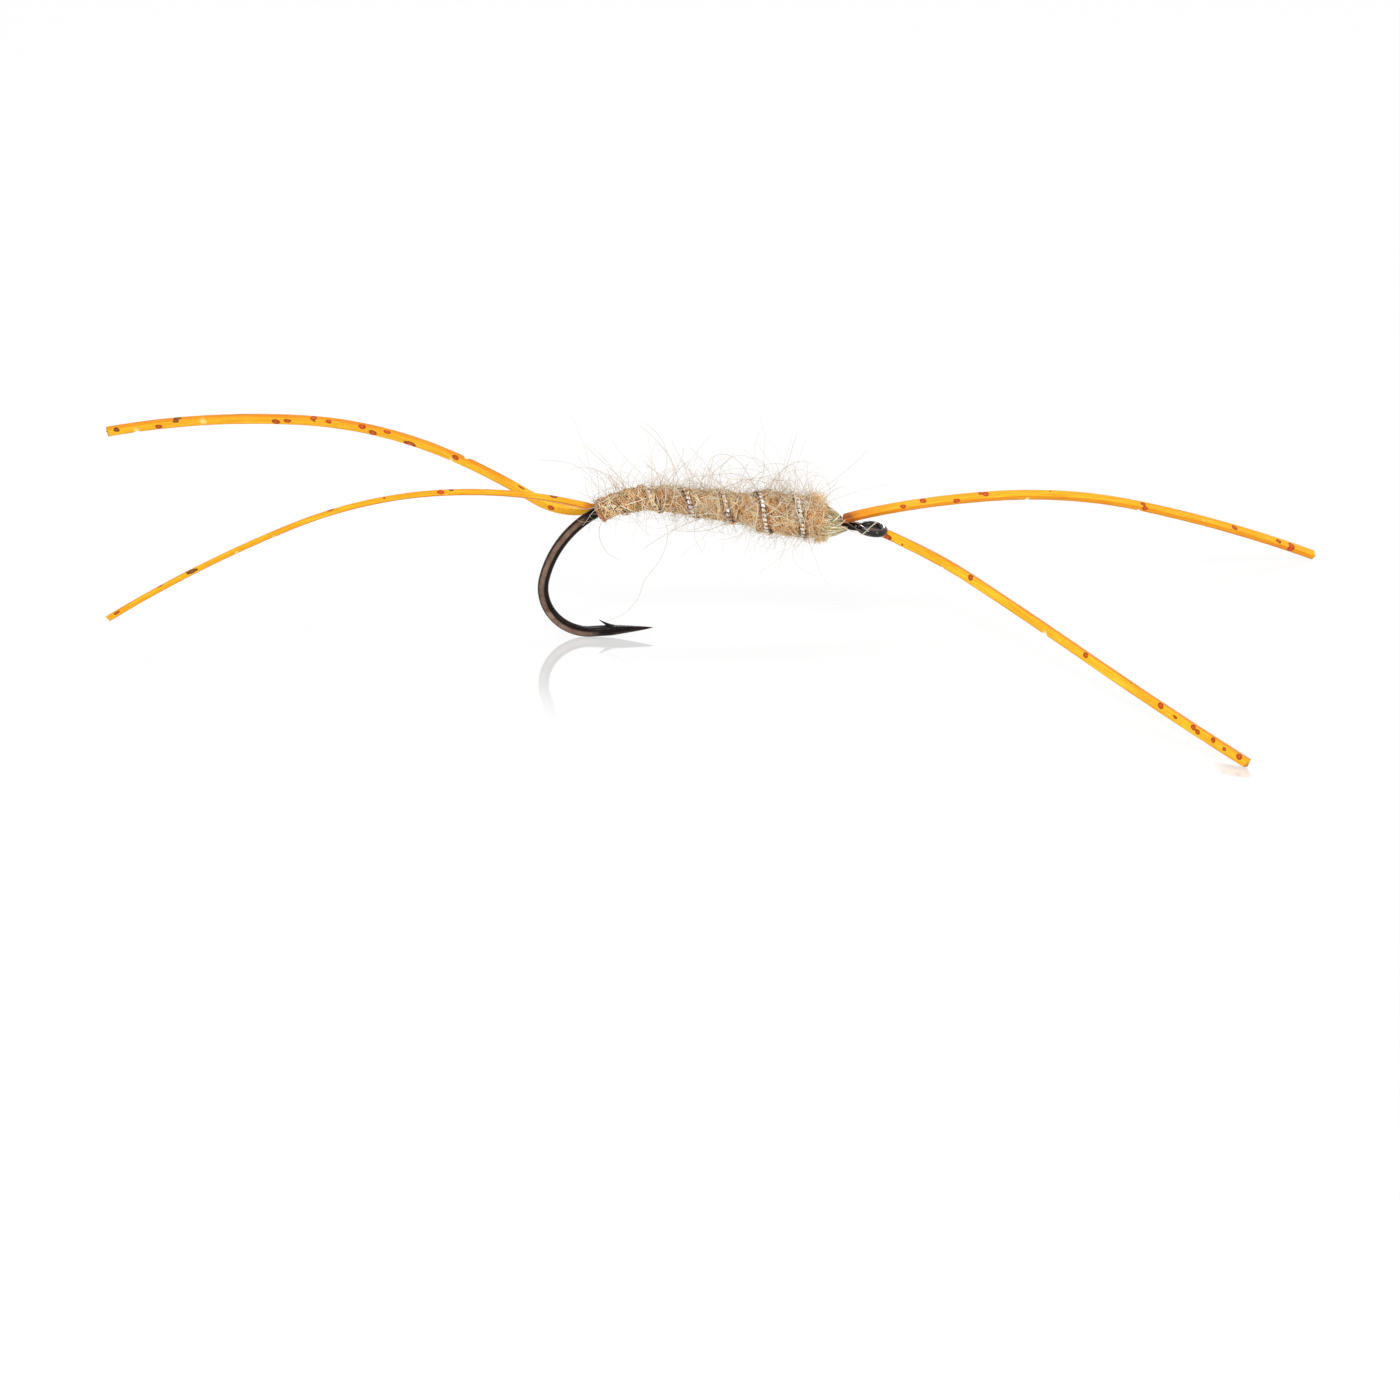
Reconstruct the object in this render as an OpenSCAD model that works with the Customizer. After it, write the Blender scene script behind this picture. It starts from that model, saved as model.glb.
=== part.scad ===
// Rubber-legged fly: a barbed hook dressed with wound fur dubbing, a tinsel rib, two tail strands
// and two front legs cut from flat rubber strand.
// X runs along the fly toward the eye, Z is up, Y points to the far side. Millimetres.
// The origin is the centre of the hook eye.

/* [Hook] */
// Diameter of the hook wire
wire_d = 0.6; // [0.44:0.02:0.7]
// Diameter of the tapered wire that forms the eye
eye_wire_d = 0.42; // [0.3:0.02:0.48]
// Inside diameter of the eye
eye_bore_d = 0.98; // [0.8:0.02:1.4]
// Depth of the burnished land inside the eye
eye_land = 0.02; // [0.01:0.005:0.04]
// Radius of the bend that leads the wire into the eye
eye_neck_r = 0.35; // [0.3:0.05:0.6]
// Opening left between the end of the eye wire and the neck, as an angle round the eye
eye_seam = 58; // [50:1:80]
// Angle by which the shank slopes down toward the eye
shank_tilt = 8.7; // [0:0.1:12]
// Length of the straight shank behind the eye
shank_len = 10.35; // [9.5:0.05:14]
// Length over which the wire thins toward the eye
taper_len = 2.4; // [1.5:0.1:4]
// Radius of the upper, open part of the bend
bend_r1 = 6.1; // [5:0.1:8]
// Angle of the upper part of the bend
bend_a1 = 85.5; // [75:0.5:95]
// Radius of the lower, tight part of the bend
bend_r2 = 2.52; // [2:0.05:3.5]
// Angle of the lower part of the bend
bend_a2 = 107; // [95:0.5:115]
// Length of the straight point leg
point_len = 3.38; // [2.8:0.05:5]
// Length of the ground needle point
point_taper = 2.3; // [1.5:0.1:2.6]
// Thickness across the forged flats of the bend
forge_t = 0.46; // [0.36:0.02:0.56]
// Distance from the needle point to the root of the barb
barb_from_tip = 2.45; // [2:0.05:2.7]
// Length of the raised barb
barb_len = 0.5; // [0.3:0.05:0.7]
// Height of the barb over the wire
barb_h = 0.36; // [0.2:0.02:0.5]
// Width of the barb across the wire
barb_w = 0.3; // [0.2:0.02:0.4]

/* [Dressing] */
// Distance from the neck of the eye to the head wraps
head_from_neck = 0.72; // [0.6:0.02:1.2]
// Length of the head wraps
head_len = 1.06; // [0.8:0.02:1.6]
// Radius of the head wraps at the front
head_front_r = 0.4; // [0.36:0.01:0.8]
// Radius of the head wraps against the thorax
head_rear_r = 0.86; // [0.8:0.01:1.2]
// Length of the thorax dubbing
thorax_len = 4.2; // [3.5:0.1:6]
// Radius of the thorax dubbing
thorax_r = 1.1; // [1:0.02:1.6]
// Length of the rounded shoulder at each end of the thorax
shoulder_len = 0.9; // [0.6:0.05:1.4]
// Length of the abdomen dubbing
abdomen_len = 7.8; // [6:0.05:8]
// Radius of the abdomen dubbing at the thorax
abdomen_front_r = 0.78; // [0.7:0.02:1.2]
// Radius of the abdomen dubbing at the tail
abdomen_rear_r = 0.56; // [0.52:0.02:0.8]
// How far the fur of the thorax sits above the middle of the shank
fur_lift = 0.16; // [0:0.02:0.2]
// Length of the thread wraps that bind the tail
tail_bind_len = 0.55; // [0.45:0.01:1.2]
// Radius of the thread wraps that bind the tail
tail_bind_r = 0.64; // [0.6:0.02:1]
// Diameter of the tying thread, as it shows in ridges on the wraps
thread_d = 0.12; // [0.1:0.02:0.2]
// Clearance between the wire, the wraps and the dubbing that lie on one another
wrap_gap = 0.03; // [0.02:0.01:0.05]

/* [Rib] */
// Diameter of the tinsel rib
rib_d = 0.27; // [0.2:0.01:0.34]
// Pitch of the rib along the body
rib_pitch = 2.05; // [1.6:0.01:3]
// Depth of the furrow that the rib presses into the dubbing
rib_sink = 0.14; // [0.1:0.02:0.16]
// Half width of that furrow along the body
furrow_w = 0.5; // [0.4:0.05:0.7]
// Clearance between the rib and the dubbing under it
rib_gap = 0.05; // [0.04:0.01:0.08]
// Place along the shank, from the neck, where the rib crosses the near side
rib_cross = 2.98; // [2.5:0.01:4]

/* [Fur] */
// Guard hairs that stand out of the fur in each gap between two turns of the rib
guard_hairs = 14; // [0:1:24]
// Length of the longest guard hair, from its root in the fur
guard_hair_len = 3.2; // [1:0.1:4]
// Diameter of a guard hair at its root
guard_hair_d = 0.1; // [0.06:0.01:0.14]
// Angle to each side of the top of the body over which they stand
guard_hair_spread = 72; // [30:1:80]

/* [Strands] */
// Narrow side of the rubber strand
strand_a = 0.32; // [0.26:0.02:0.5]
// Wide side of the rubber strand
strand_b = 0.5; // [0.4:0.02:0.6]
// Clearance round the root of each strand in its seat
seat_gap = 0.05; // [0.04:0.01:0.08]
// Depth to which each root sits in the face of the wraps
seat_depth = 0.09; // [0.06:0.01:0.14]
// Room left between the near front leg and the eye that it passes
eye_clear = 0.05; // [0.04:0.01:0.2]

/* [Tail strands] */
// Length of the near tail strand
near_tail_len = 28; // [20:0.2:40]
// Compass angle of the near tail strand, from +X
near_tail_yaw = 195; // [185:1:215]
// Slope of the near tail strand, from root to tip
near_tail_pitch = [19, 12, 2, -18, -28];
// Roll of the near tail strand's section
near_tail_roll = -68; // [-90:1:90]
// Height of the near tail strand's root above the wire
near_tail_lift = 0.15; // [0.06:0.01:0.25]
// Length of the far tail strand
far_tail_len = 28.9; // [20:0.1:40]
// Compass angle of the far tail strand, from +X
far_tail_yaw = 165; // [145:1:175]
// Slope of the far tail strand, from root to tip
far_tail_pitch = [-18, 28, 19, -2, -15];
// Roll of the far tail strand's section
far_tail_roll = -22; // [-90:1:90]
// Height of the far tail strand's root above the wire
far_tail_lift = 0.12; // [0.06:0.01:0.2]

/* [Front legs] */
// Height of the front legs' roots above the neck of the eye
leg_lift = 0.09; // [0.05:0.01:0.15]
// Length of the near front leg
near_leg_len = 31.4; // [22:0.1:40]
// Compass angle of the near front leg once it is past the eye
near_leg_yaw = -50; // [-70:1:-40]
// Slope of the near front leg, from root to tip
near_leg_pitch = [-17.8, -19.2, -23.9, -3.9, -10.3, -11.6, -9.2];
// Roll of the near front leg's section
near_leg_roll = -12; // [-90:1:90]
// Length of the far front leg
far_leg_len = 30.75; // [22:0.05:40]
// Compass angle of the far front leg, from +X
far_leg_yaw = 25.5; // [22:0.1:40]
// Slope of the far front leg, from root to tip
far_leg_pitch = [5.5, 2.4, -0.4, -5.5, -19.3, -26];
// Roll of the far front leg's section
far_leg_roll = -60; // [-90:1:90]

/* [Hidden] */
$fn = 48;

// Sides of the swept wire, of the dressing, of the rib, and steps along a strand
wire_n = 16;
wrap_n = 20;
rib_n = 6;
strand_steps = 56;
// Rings of the rib in one turn
rib_rings = 24;
// Spacing of the rings along the dubbing
dub_step = 0.24;
// Sides of a guard hair, and steps along it
hair_n = 3;
hair_steps = 5;
// Depth of a guard hair's root in the fur, and the room kept free of them at each end of a sleeve
hair_root = 0.2;
hair_end = 0.5;
// Thickness of its tip and length of the shortest, as shares of the root and of the longest
hair_tip = 0.3;
hair_short = 0.5;
// How far it bows over, leans along the body and leans across it, as shares of its length
hair_bow = 0.3;
hair_lean = 0.55;
hair_lay = 0.3;
// How far from the middle of the gap it may stand, as a share of the rib's pitch
hair_stray = 0.24;
// Steps that scatter the clock angle, place, length, lean and lay of the hairs, chosen so that none cross
hair_scatter = [0.286, 0.653, 0.863, 0.337, 0.664];
// Steps that round a strand's root, and how far round they reach
root_steps = 4;
root_round = 76;
// Shares of a strand's length at which its slopes are given
slope_at = [0, 0.12, 0.3, 0.6, 1];
near_leg_slope_at = [0, 0.05, 0.1, 0.15, 0.3, 0.6, 1];
far_leg_slope_at = [0, 0.05, 0.12, 0.3, 0.6, 1];
// Share of the near front leg's length by which it has turned to its own compass angle
near_leg_turned = 0.15;
// How far the swept wire runs past the neck, into the bend of the eye
neck_lap = 0.05;
// Swell of the wire where the eye's two arcs are forged together
eye_swell = 1.06;
// Forged flats: distance behind the dressing, run-out, and reach into the point leg
forge_from = 0.4;
forge_run = 1.2;
forge_past = 0.6;
// Fullness of the needle point, and its blunt end as a share of the wire
needle_full = 0.75;
needle_blunt = 0.03;
// Foot of the barb ahead of its root, and how deep its cut bites as a share of the wire
barb_foot = 0.3;
barb_bite = 0.5;
// Clock angles round the wire, from below through the near side, at which the strands lie
near_tail_clock = 160;
far_tail_clock = 262;
near_leg_clock = 286;
far_leg_clock = 152;

wire_r = wire_d / 2;
eye_wire_r = eye_wire_d / 2;
eye_r = eye_bore_d / 2 + eye_wire_r - eye_land;
neck_out = sqrt(eye_r * eye_r + 2 * eye_r * eye_neck_r);
neck_turn = acos(eye_neck_r / (eye_r + eye_neck_r));
// Half diagonal of a strand's section, which its root and seat are made to
strand_hd = sqrt(strand_a * strand_a + strand_b * strand_b) / 2;

// Lengths along the hook, from the neck of the eye to the needle point
heading0 = 180 - shank_tilt;
len1 = bend_r1 * bend_a1 * PI / 180;
len2 = bend_r2 * bend_a2 * PI / 180;
at_bend1 = shank_len;
at_bend2 = at_bend1 + len1;
at_point = at_bend2 + len2;
hook_len = at_point + point_len;
neck_p = [-neck_out * cos(shank_tilt), neck_out * sin(shank_tilt)];

// Places of the dressing along the hook
head_a = head_from_neck;
head_b = head_a + head_len;
thorax_a = head_b + wrap_gap;
thorax_b = thorax_a + thorax_len;
abdomen_a = thorax_b + wrap_gap;
abdomen_b = abdomen_a + abdomen_len;
bind_a = abdomen_b + wrap_gap;
bind_b = bind_a + tail_bind_len;
rib_a = thorax_a + wrap_gap;
rib_b = abdomen_b - wrap_gap;

// Helpers on plane directions and lists
function dir2(a) = [cos(a), sin(a)];
function left2(a) = [-sin(a), cos(a)];
function unit(v) = v / norm(v);
function ease(u) = let (c = min(max(u, 0), 1)) c * c * (3 - 2 * c);
function arc_end(p, a, r, turn) = p + r * left2(a) - r * left2(a + turn);
function along(t, stops) = lookup(t, stops);
function spread(list, at) = [for (i = [0 : len(list) - 1]) [at[i], list[i]]];

// Point, in the hook's plane, and heading of the hook's centre line at a length along it
p_bend1 = neck_p + shank_len * dir2(heading0);
p_bend2 = arc_end(p_bend1, heading0, bend_r1, bend_a1);
heading2 = heading0 + bend_a1 + bend_a2;
p_point = arc_end(p_bend2, heading0 + bend_a1, bend_r2, bend_a2);
function turn_at(s) =
    s < at_bend1 ? 0
    : s < at_bend2 ? bend_a1 * (s - at_bend1) / len1
    : s < at_point ? bend_a1 + bend_a2 * (s - at_bend2) / len2
    : bend_a1 + bend_a2;
function heading(s) = heading0 + turn_at(s);
function centre(s) =
    s < at_bend1 ? neck_p + s * dir2(heading0)
    : s < at_bend2 ? arc_end(p_bend1, heading0, bend_r1, turn_at(s))
    : s < at_point ? arc_end(p_bend2, heading0 + bend_a1, bend_r2, turn_at(s) - bend_a1)
    : p_point + (s - at_point) * dir2(heading2);
// Radius of the wire: thin at the eye, ground to a needle at the point
function wire_radius(s) =
    let (thin = eye_wire_r + wrap_gap / 2)
    s > hook_len - point_taper
    ? wire_r * max(pow(max(hook_len - s, 0) / point_taper, needle_full), needle_blunt)
    : thin + (wire_r - thin) * ease(s / taper_len);
// Half thickness across the hook's plane, pressed flat round the bend
function flat_half(s) =
    let (on = ease((s - bind_b - forge_from) / forge_run) * ease((at_point + forge_past - s) / forge_run))
    wire_r + (forge_t / 2 - wire_r) * on;
// Point at a radius and clock angle round the wire: 0 is below the shank, 90 the near side
function round_wire(s, r, clock) =
    let (c = centre(s), n = left2(heading(s)), q = r * cos(clock))
    [c[0] + q * n[0], -r * sin(clock), c[1] + q * n[1]];

// Triangles between ring a and ring b, of n points each, seen from outside
function band(a, b, n) = [for (i = [0 : n - 1]) let (j = (i + 1) % n)
    each [[a + i, b + i, b + j], [a + i, b + j, a + j]]];
function flip(faces) = [for (f = faces) [f[2], f[1], f[0]]];
function fan(a, n) = [for (i = [1 : n - 2]) [a, a + i, a + i + 1]];
function steps(a, b, step) = let (k = max(1, ceil((b - a) / step))) [for (i = [0 : k]) a + (b - a) * i / k];

// A closed solid through rings of equal length
module loft(rings) {
    n = len(rings[0]);
    m = len(rings);
    polyhedron(
        points = [for (r = rings) each r],
        faces = concat(
            fan(0, n),
            [for (k = [0 : m - 2]) each band(k * n, (k + 1) * n, n)],
            flip(fan((m - 1) * n, n))),
        convexity = 6);
}

// A closed sleeve on the wire, through outer rings, with a bore that clears the wire
module sleeve(stations, outer) {
    n = wrap_n;
    m = len(stations);
    bore = [for (s = stations) let (r = (wire_radius(s) + wrap_gap) / cos(180 / n))
        [for (i = [0 : n - 1]) round_wire(s, r, 360 * i / n)]];
    points = concat([for (r = outer) each r], [for (r = bore) each r]);
    in0 = m * n;
    polyhedron(
        points = points,
        faces = concat(
            [for (k = [0 : m - 2]) each band(k * n, (k + 1) * n, n)],
            flip([for (k = [0 : m - 2]) each band(in0 + k * n, in0 + (k + 1) * n, n)]),
            flip(band(0, in0, n)),
            band((m - 1) * n, in0 + (m - 1) * n, n)),
        convexity = 8);
}

// Clock angle of the rib at a length along the hook: it leaves each end straight along the body
rib_straight = rib_d;
rib_lead = 0.4;
function rib_run(s) =
    let (lo = rib_a + rib_straight + rib_lead, hi = rib_b - rib_straight - rib_lead,
         u = min(max((lo - s) / rib_lead, 0), 1), v = min(max((s - hi) / rib_lead, 0), 1))
    s < lo ? lo - rib_lead * (u - u * u / 2)
    : s > hi ? hi + rib_lead * (v - v * v / 2)
    : s;
function rib_clock(s) = 90 + 360 * (rib_run(s) - rib_cross) / rib_pitch;
// Depth of the rib's furrow at a clock angle: the distance is taken along the body
function furrow_depth(off) = off < furrow_w ? rib_sink * pow(1 - pow(off / furrow_w, 2), 2) : 0;
function furrow(s, clock) =
    let (d = (rib_clock(s) - clock) / 360) furrow_depth(abs(d - round(d)) * rib_pitch);
// Radius of the dubbing before the rib presses into it
function dub_radius(s) =
    s < thorax_b + wrap_gap / 2
    ? let (u = min(s - thorax_a, thorax_b - s) / shoulder_len,
           low = s - thorax_a < thorax_b - s ? head_rear_r : abdomen_front_r)
      low + (thorax_r - low) * ease(u)
    : abdomen_front_r + (abdomen_rear_r - abdomen_front_r) * ease((s - abdomen_a) / abdomen_len);
// Point round the fur, whose middle comes down to the shank toward the tail
function round_fur(s, r, clock) =
    let (n = left2(heading(s)), lift = fur_lift * (1 - ease((s - thorax_a) / (abdomen_b - thorax_a))))
    round_wire(s, r, clock) - lift * [n[0], 0, n[1]];
function dub_ring(s) = [for (i = [0 : wrap_n - 1]) let (c = 360 * i / wrap_n)
    round_fur(s, dub_radius(s) - furrow(s, c), c)];
// Radius at which the rib's centre rides clear of the dubbing, also where the body swells
rib_reach = [-1 : 0.25 : 1];
function rib_radius(s) = rib_gap + max([for (k = rib_reach)
    let (d = k * rib_d / 2, at = min(max(s + d, thorax_a), abdomen_b))
    dub_radius(at) - furrow_depth(abs(d)) + sqrt(rib_d * rib_d / 4 - d * d)]);
function rib_centre(s) = round_fur(s, rib_radius(s), rib_clock(s));

// Guard hairs: an even scatter between 0 and 1, or between -1 and 1, for hair i
function scatter(i, k) = i * hair_scatter[k] - floor(i * hair_scatter[k]);
function either_way(i, k) = 2 * scatter(i, k) - 1;
// Rings of one hair, which springs straight out of the fur and bends over
function hair_rings(s, clock, length, lean) =
    let (foot = round_fur(s, dub_radius(s) - hair_root, clock),
         out = round_wire(s, 1, clock) - round_wire(s, 0, clock),
         side = unit(cross(out, lean)))
    [for (i = [0 : hair_steps])
        let (t = i / hair_steps,
             p = foot + length * ((t - hair_bow * t * t) * out + t * t * lean),
             up = cross(unit((1 - 2 * hair_bow * t) * out + 2 * t * lean), side),
             r = guard_hair_d / 2 * (1 + (hair_tip - 1) * t))
        [for (j = [0 : hair_n - 1]) p + r * (cos(360 * j / hair_n) * side + sin(360 * j / hair_n) * up)]];
// Hair i of the gap behind turn k of the rib: its place, its clock angle, and the way it leans
function hair_clock(i) = 180 + guard_hair_spread * either_way(i, 0);
function hair_place(i, k) =
    rib_cross + rib_pitch * ((hair_clock(i) - 90) / 360 + k + 0.5 + hair_stray * either_way(i, 1));
function hair_way(i, s) =
    let (c = hair_clock(i), out = round_wire(s, 1, c) - round_wire(s, 0, c),
         a = dir2(heading(s)), back = [a[0], 0, a[1]])
    hair_lean * either_way(i, 3) * back + hair_lay * either_way(i, 4) * cross(back, out);

// The guard hairs of a sleeve between two places along the hook
module fur_hairs(a, b) {
    first = floor((a - rib_cross) / rib_pitch) - 1;
    last = ceil((b - rib_cross) / rib_pitch);
    for (k = [first : last], j = [0 : 1 : guard_hairs - 1]) {
        i = k * guard_hairs + j;
        s = hair_place(i, k);
        if (s > a + hair_end && s < b - hair_end)
            loft(hair_rings(s, hair_clock(i),
                guard_hair_len * (hair_short + (1 - hair_short) * scatter(i, 2)), hair_way(i, s)));
    }
}

// Radius of thread wraps whose turns show as ridges
function ridge(s, a) = thread_d / 4 * abs(sin(180 * (s - a) / thread_d));
function wrap_rings(stations, a, r0, r1, b) = [for (s = stations)
    let (r = r0 + (r1 - r0) * (s - a) / (b - a) + ridge(s, a))
    [for (i = [0 : wrap_n - 1]) round_wire(s, r, 360 * i / wrap_n)]];

// Centre line of a strand: its slope and compass angle run between their stops
function strand_dir(t, yaw, pitch) =
    let (y = along(t, yaw), p = along(t, pitch)) [cos(p) * cos(y), cos(p) * sin(y), sin(p)];
function strand_line(root, length, yaw, pitch) = let (k = strand_steps)
    [for (i = 0, p = root; i <= k; p = p + length / k * strand_dir((i + 0.5) / k, yaw, pitch), i = i + 1) p];
function section(c, t, yaw, roll) =
    let (u = [-sin(yaw), cos(yaw), 0], v = cross(t, u),
         a = strand_a / 2 * (cos(roll) * u + sin(roll) * v),
         b = strand_b / 2 * (cos(roll) * v - sin(roll) * u))
    [c + a + b, c - a + b, c - a - b, c + a - b];
function squash(ring, c, axis, k) = [for (p = ring)
    let (d = p - c, h = (d * axis) * axis) c + h + k * (d - h)];

// A strand of rubber: oblong section, root rounded about its pivot, tip cut square
module strand(root, length, yaw, pitch, roll, axis) {
    line = strand_line(root, length, yaw, pitch);
    k = strand_steps;
    t0 = strand_dir(0, yaw, pitch);
    ring0 = section(root, t0, along(0, yaw), roll);
    root_rings = [for (j = [root_steps : -1 : 1]) let (a = root_round * j / root_steps)
        [for (p = squash(ring0, root, axis, cos(a))) p - strand_hd * sin(a) * t0]];
    rings = [for (i = [1 : k]) let (t = strand_dir(i / k, yaw, pitch))
        section(line[i], t, along(i / k, yaw), roll)];
    loft(concat(root_rings, [ring0], rings));
}

// Seat for a strand's root: a round pocket about its pivot
module seat(root, axis) {
    r = strand_hd + seat_gap;
    half = r + strand_hd / 2;
    translate(root)
        rotate([0, acos(axis[2]), atan2(axis[1], axis[0])])
            cylinder(r = r, h = 2 * half, center = true);
}

// Where each strand's pivot lies, and its axis
function root_at(s, r, clock) = round_wire(s, r + strand_hd, clock);
pivot_out = strand_hd + seat_gap - seat_depth;
tail_s = bind_b + pivot_out;
leg_s = head_a - pivot_out;
near_tail_root = root_at(tail_s, wire_r + near_tail_lift, near_tail_clock);
far_tail_root = root_at(tail_s, wire_r + far_tail_lift, far_tail_clock);
near_leg_root = root_at(leg_s, wire_radius(leg_s) + leg_lift, near_leg_clock);
far_leg_root = root_at(leg_s, wire_radius(leg_s) + leg_lift, far_leg_clock);
near_tail_axis = [sin(near_tail_yaw), -cos(near_tail_yaw), 0];
far_tail_axis = [sin(far_tail_yaw), -cos(far_tail_yaw), 0];
leg_axis = [0, 0, 1];

// The near front leg is aimed past the side of the eye, and then turns to its own compass angle
near_leg_aim = atan2(eye_r + eye_wire_r + strand_hd + eye_clear - near_leg_root[1], -near_leg_root[0]);
near_leg_past = norm([near_leg_root[0], eye_r + eye_wire_r + strand_hd - near_leg_root[1]]) / near_leg_len;
near_leg_turn = [[0, near_leg_aim], [near_leg_past, near_leg_aim],
                 [near_leg_turned, near_leg_yaw], [1, near_leg_yaw]];

module eye() {
    rotate([0, shank_tilt, 0]) {
        start = 180 + 90 - neck_turn;
        // Ring of the eye, with the land inside it
        rotate([0, 0, start])
            rotate_extrude(angle = 360 - eye_seam)
                difference() {
                    translate([eye_r, 0])
                        circle(r = eye_wire_r);
                    translate([0, -eye_wire_r])
                        square([eye_bore_d / 2, 2 * eye_wire_r]);
                }
        // Bend from the neck into the ring
        translate([-neck_out, -eye_neck_r, 0])
            rotate([0, 0, 90 - neck_turn])
                rotate_extrude(angle = neck_turn)
                    translate([eye_neck_r, 0])
                        circle(r = eye_wire_r);
        // The forged joint where the two arcs meet
        rotate([0, 0, start])
            translate([eye_r, 0, 0])
                sphere(r = eye_wire_r * eye_swell);
    }
}

// Shape of the barb, raised from the inner side of the point leg
module barb() {
    s = hook_len - barb_from_tip;
    c = centre(s);
    r = wire_radius(s);
    translate([c[0], 0, c[1]])
        rotate([0, -heading(s), 0])
            rotate([90, 0, 0])
                linear_extrude(height = barb_w, center = true)
                    polygon([[barb_foot, r * barb_bite], [barb_foot / 2, r], [-barb_len, r + barb_h],
                             [-barb_foot / 2, r * barb_bite]]);
}

module hook() {
    stations = concat(
        steps(-neck_lap, taper_len, 0.5),
        steps(at_bend1, at_bend2, 0.6),
        [for (s = steps(at_bend2, at_point, 0.32)) if (s > at_bend2) s],
        [for (s = steps(at_point, hook_len, 0.28)) if (s > at_point) s]);
    rings = [for (s = stations)
        let (r = wire_radius(s), f = flat_half(s), c = centre(s), n = left2(heading(s)))
        [for (i = [0 : wire_n - 1])
            let (a = 360 * (i + 0.5) / wire_n, q = r * cos(a), y = min(max(r * sin(a), -f), f))
            [c[0] + q * n[0], -y, c[1] + q * n[1]]]];
    color("#4a4038") {
        loft(rings);
        eye();
        barb();
    }
}

module tail_binding() {
    stations = steps(bind_a, bind_b, thread_d / 2);
    color("#8a6a44")
        difference() {
            sleeve(stations,
                wrap_rings(stations, bind_a, abdomen_rear_r + thread_d / 4, tail_bind_r, bind_b));
            seat(near_tail_root, near_tail_axis);
            seat(far_tail_root, far_tail_axis);
        }
}

module abdomen_dubbing() {
    stations = steps(abdomen_a, abdomen_b, dub_step);
    color("#bd9a70") {
        sleeve(stations, [for (s = stations) dub_ring(s)]);
        fur_hairs(abdomen_a, abdomen_b);
    }
}

module thorax_dubbing() {
    stations = steps(thorax_a, thorax_b, dub_step);
    color("#b48f66") {
        sleeve(stations, [for (s = stations) dub_ring(s)]);
        fur_hairs(thorax_a, thorax_b);
    }
}

module rib_tinsel() {
    stations = steps(rib_a, rib_b, rib_pitch / rib_rings);
    line = [for (s = stations) rib_centre(s)];
    m = len(line);
    rings = [for (k = [0 : m - 1])
        let (t = unit(line[min(k + 1, m - 1)] - line[max(k - 1, 0)]),
             s = stations[k],
             out = round_wire(s, 1, rib_clock(s)) - round_wire(s, 0, 0),
             u = unit(out - (out * t) * t),
             v = cross(t, u))
        [for (i = [0 : rib_n - 1])
            line[k] + rib_d / 2 * (cos(360 * i / rib_n) * u + sin(360 * i / rib_n) * v)]];
    gap = min([for (i = [0 : m - 1]) for (j = [i + rib_rings / 2 : 1 : m - 1])
        norm(line[i] - line[j])]) - rib_d;
    echo(rib_least_gap = gap);
    color("#c9ccd0")
        loft(rings);
}

module head_wraps() {
    stations = steps(head_a, head_b, thread_d / 2);
    color("#b79c62")
        difference() {
            sleeve(stations, wrap_rings(stations, head_a, head_front_r, head_rear_r, head_b));
            seat(near_leg_root, leg_axis);
            seat(far_leg_root, leg_axis);
        }
}

module near_tail() {
    color("#f0a826")
        strand(near_tail_root, near_tail_len, [[0, near_tail_yaw], [1, near_tail_yaw]],
            spread(near_tail_pitch, slope_at), near_tail_roll, near_tail_axis);
}

module far_tail() {
    color("#f0a826")
        strand(far_tail_root, far_tail_len, [[0, far_tail_yaw], [1, far_tail_yaw]],
            spread(far_tail_pitch, slope_at), far_tail_roll, far_tail_axis);
}

module near_front_leg() {
    color("#f0a826")
        strand(near_leg_root, near_leg_len, near_leg_turn,
            spread(near_leg_pitch, near_leg_slope_at), near_leg_roll, leg_axis);
}

module far_front_leg() {
    color("#f0a826")
        strand(far_leg_root, far_leg_len, [[0, far_leg_yaw], [1, far_leg_yaw]],
            spread(far_leg_pitch, far_leg_slope_at), far_leg_roll, leg_axis);
}

hook();
tail_binding();
abdomen_dubbing();
thorax_dubbing();
rib_tinsel();
head_wraps();
near_tail();
far_tail();
near_front_leg();
far_front_leg();
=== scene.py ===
"""Looks of the rubber-legged fly: wire, rubber, thread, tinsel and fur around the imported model.

Lengths in this file are millimetres in the part's own frame, and add_piece() turns them into metres.
"""
import functools
import itertools
import math

import bpy
import numpy as np
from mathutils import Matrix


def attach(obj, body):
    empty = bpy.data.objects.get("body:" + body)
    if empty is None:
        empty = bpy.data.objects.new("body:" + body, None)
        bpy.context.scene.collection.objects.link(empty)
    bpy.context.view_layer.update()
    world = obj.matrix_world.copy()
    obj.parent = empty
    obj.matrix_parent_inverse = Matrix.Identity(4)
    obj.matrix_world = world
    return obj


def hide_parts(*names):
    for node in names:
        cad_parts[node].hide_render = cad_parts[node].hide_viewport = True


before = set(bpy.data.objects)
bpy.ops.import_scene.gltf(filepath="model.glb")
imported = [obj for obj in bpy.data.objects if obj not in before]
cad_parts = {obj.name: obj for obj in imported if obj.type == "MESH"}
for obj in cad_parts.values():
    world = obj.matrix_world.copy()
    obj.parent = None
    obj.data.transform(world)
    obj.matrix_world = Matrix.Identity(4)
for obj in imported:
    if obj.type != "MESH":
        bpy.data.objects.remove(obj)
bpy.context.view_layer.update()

MM = 0.001
rng = np.random.default_rng(41)
HOOK_BODY = "dressed_hook"

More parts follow.
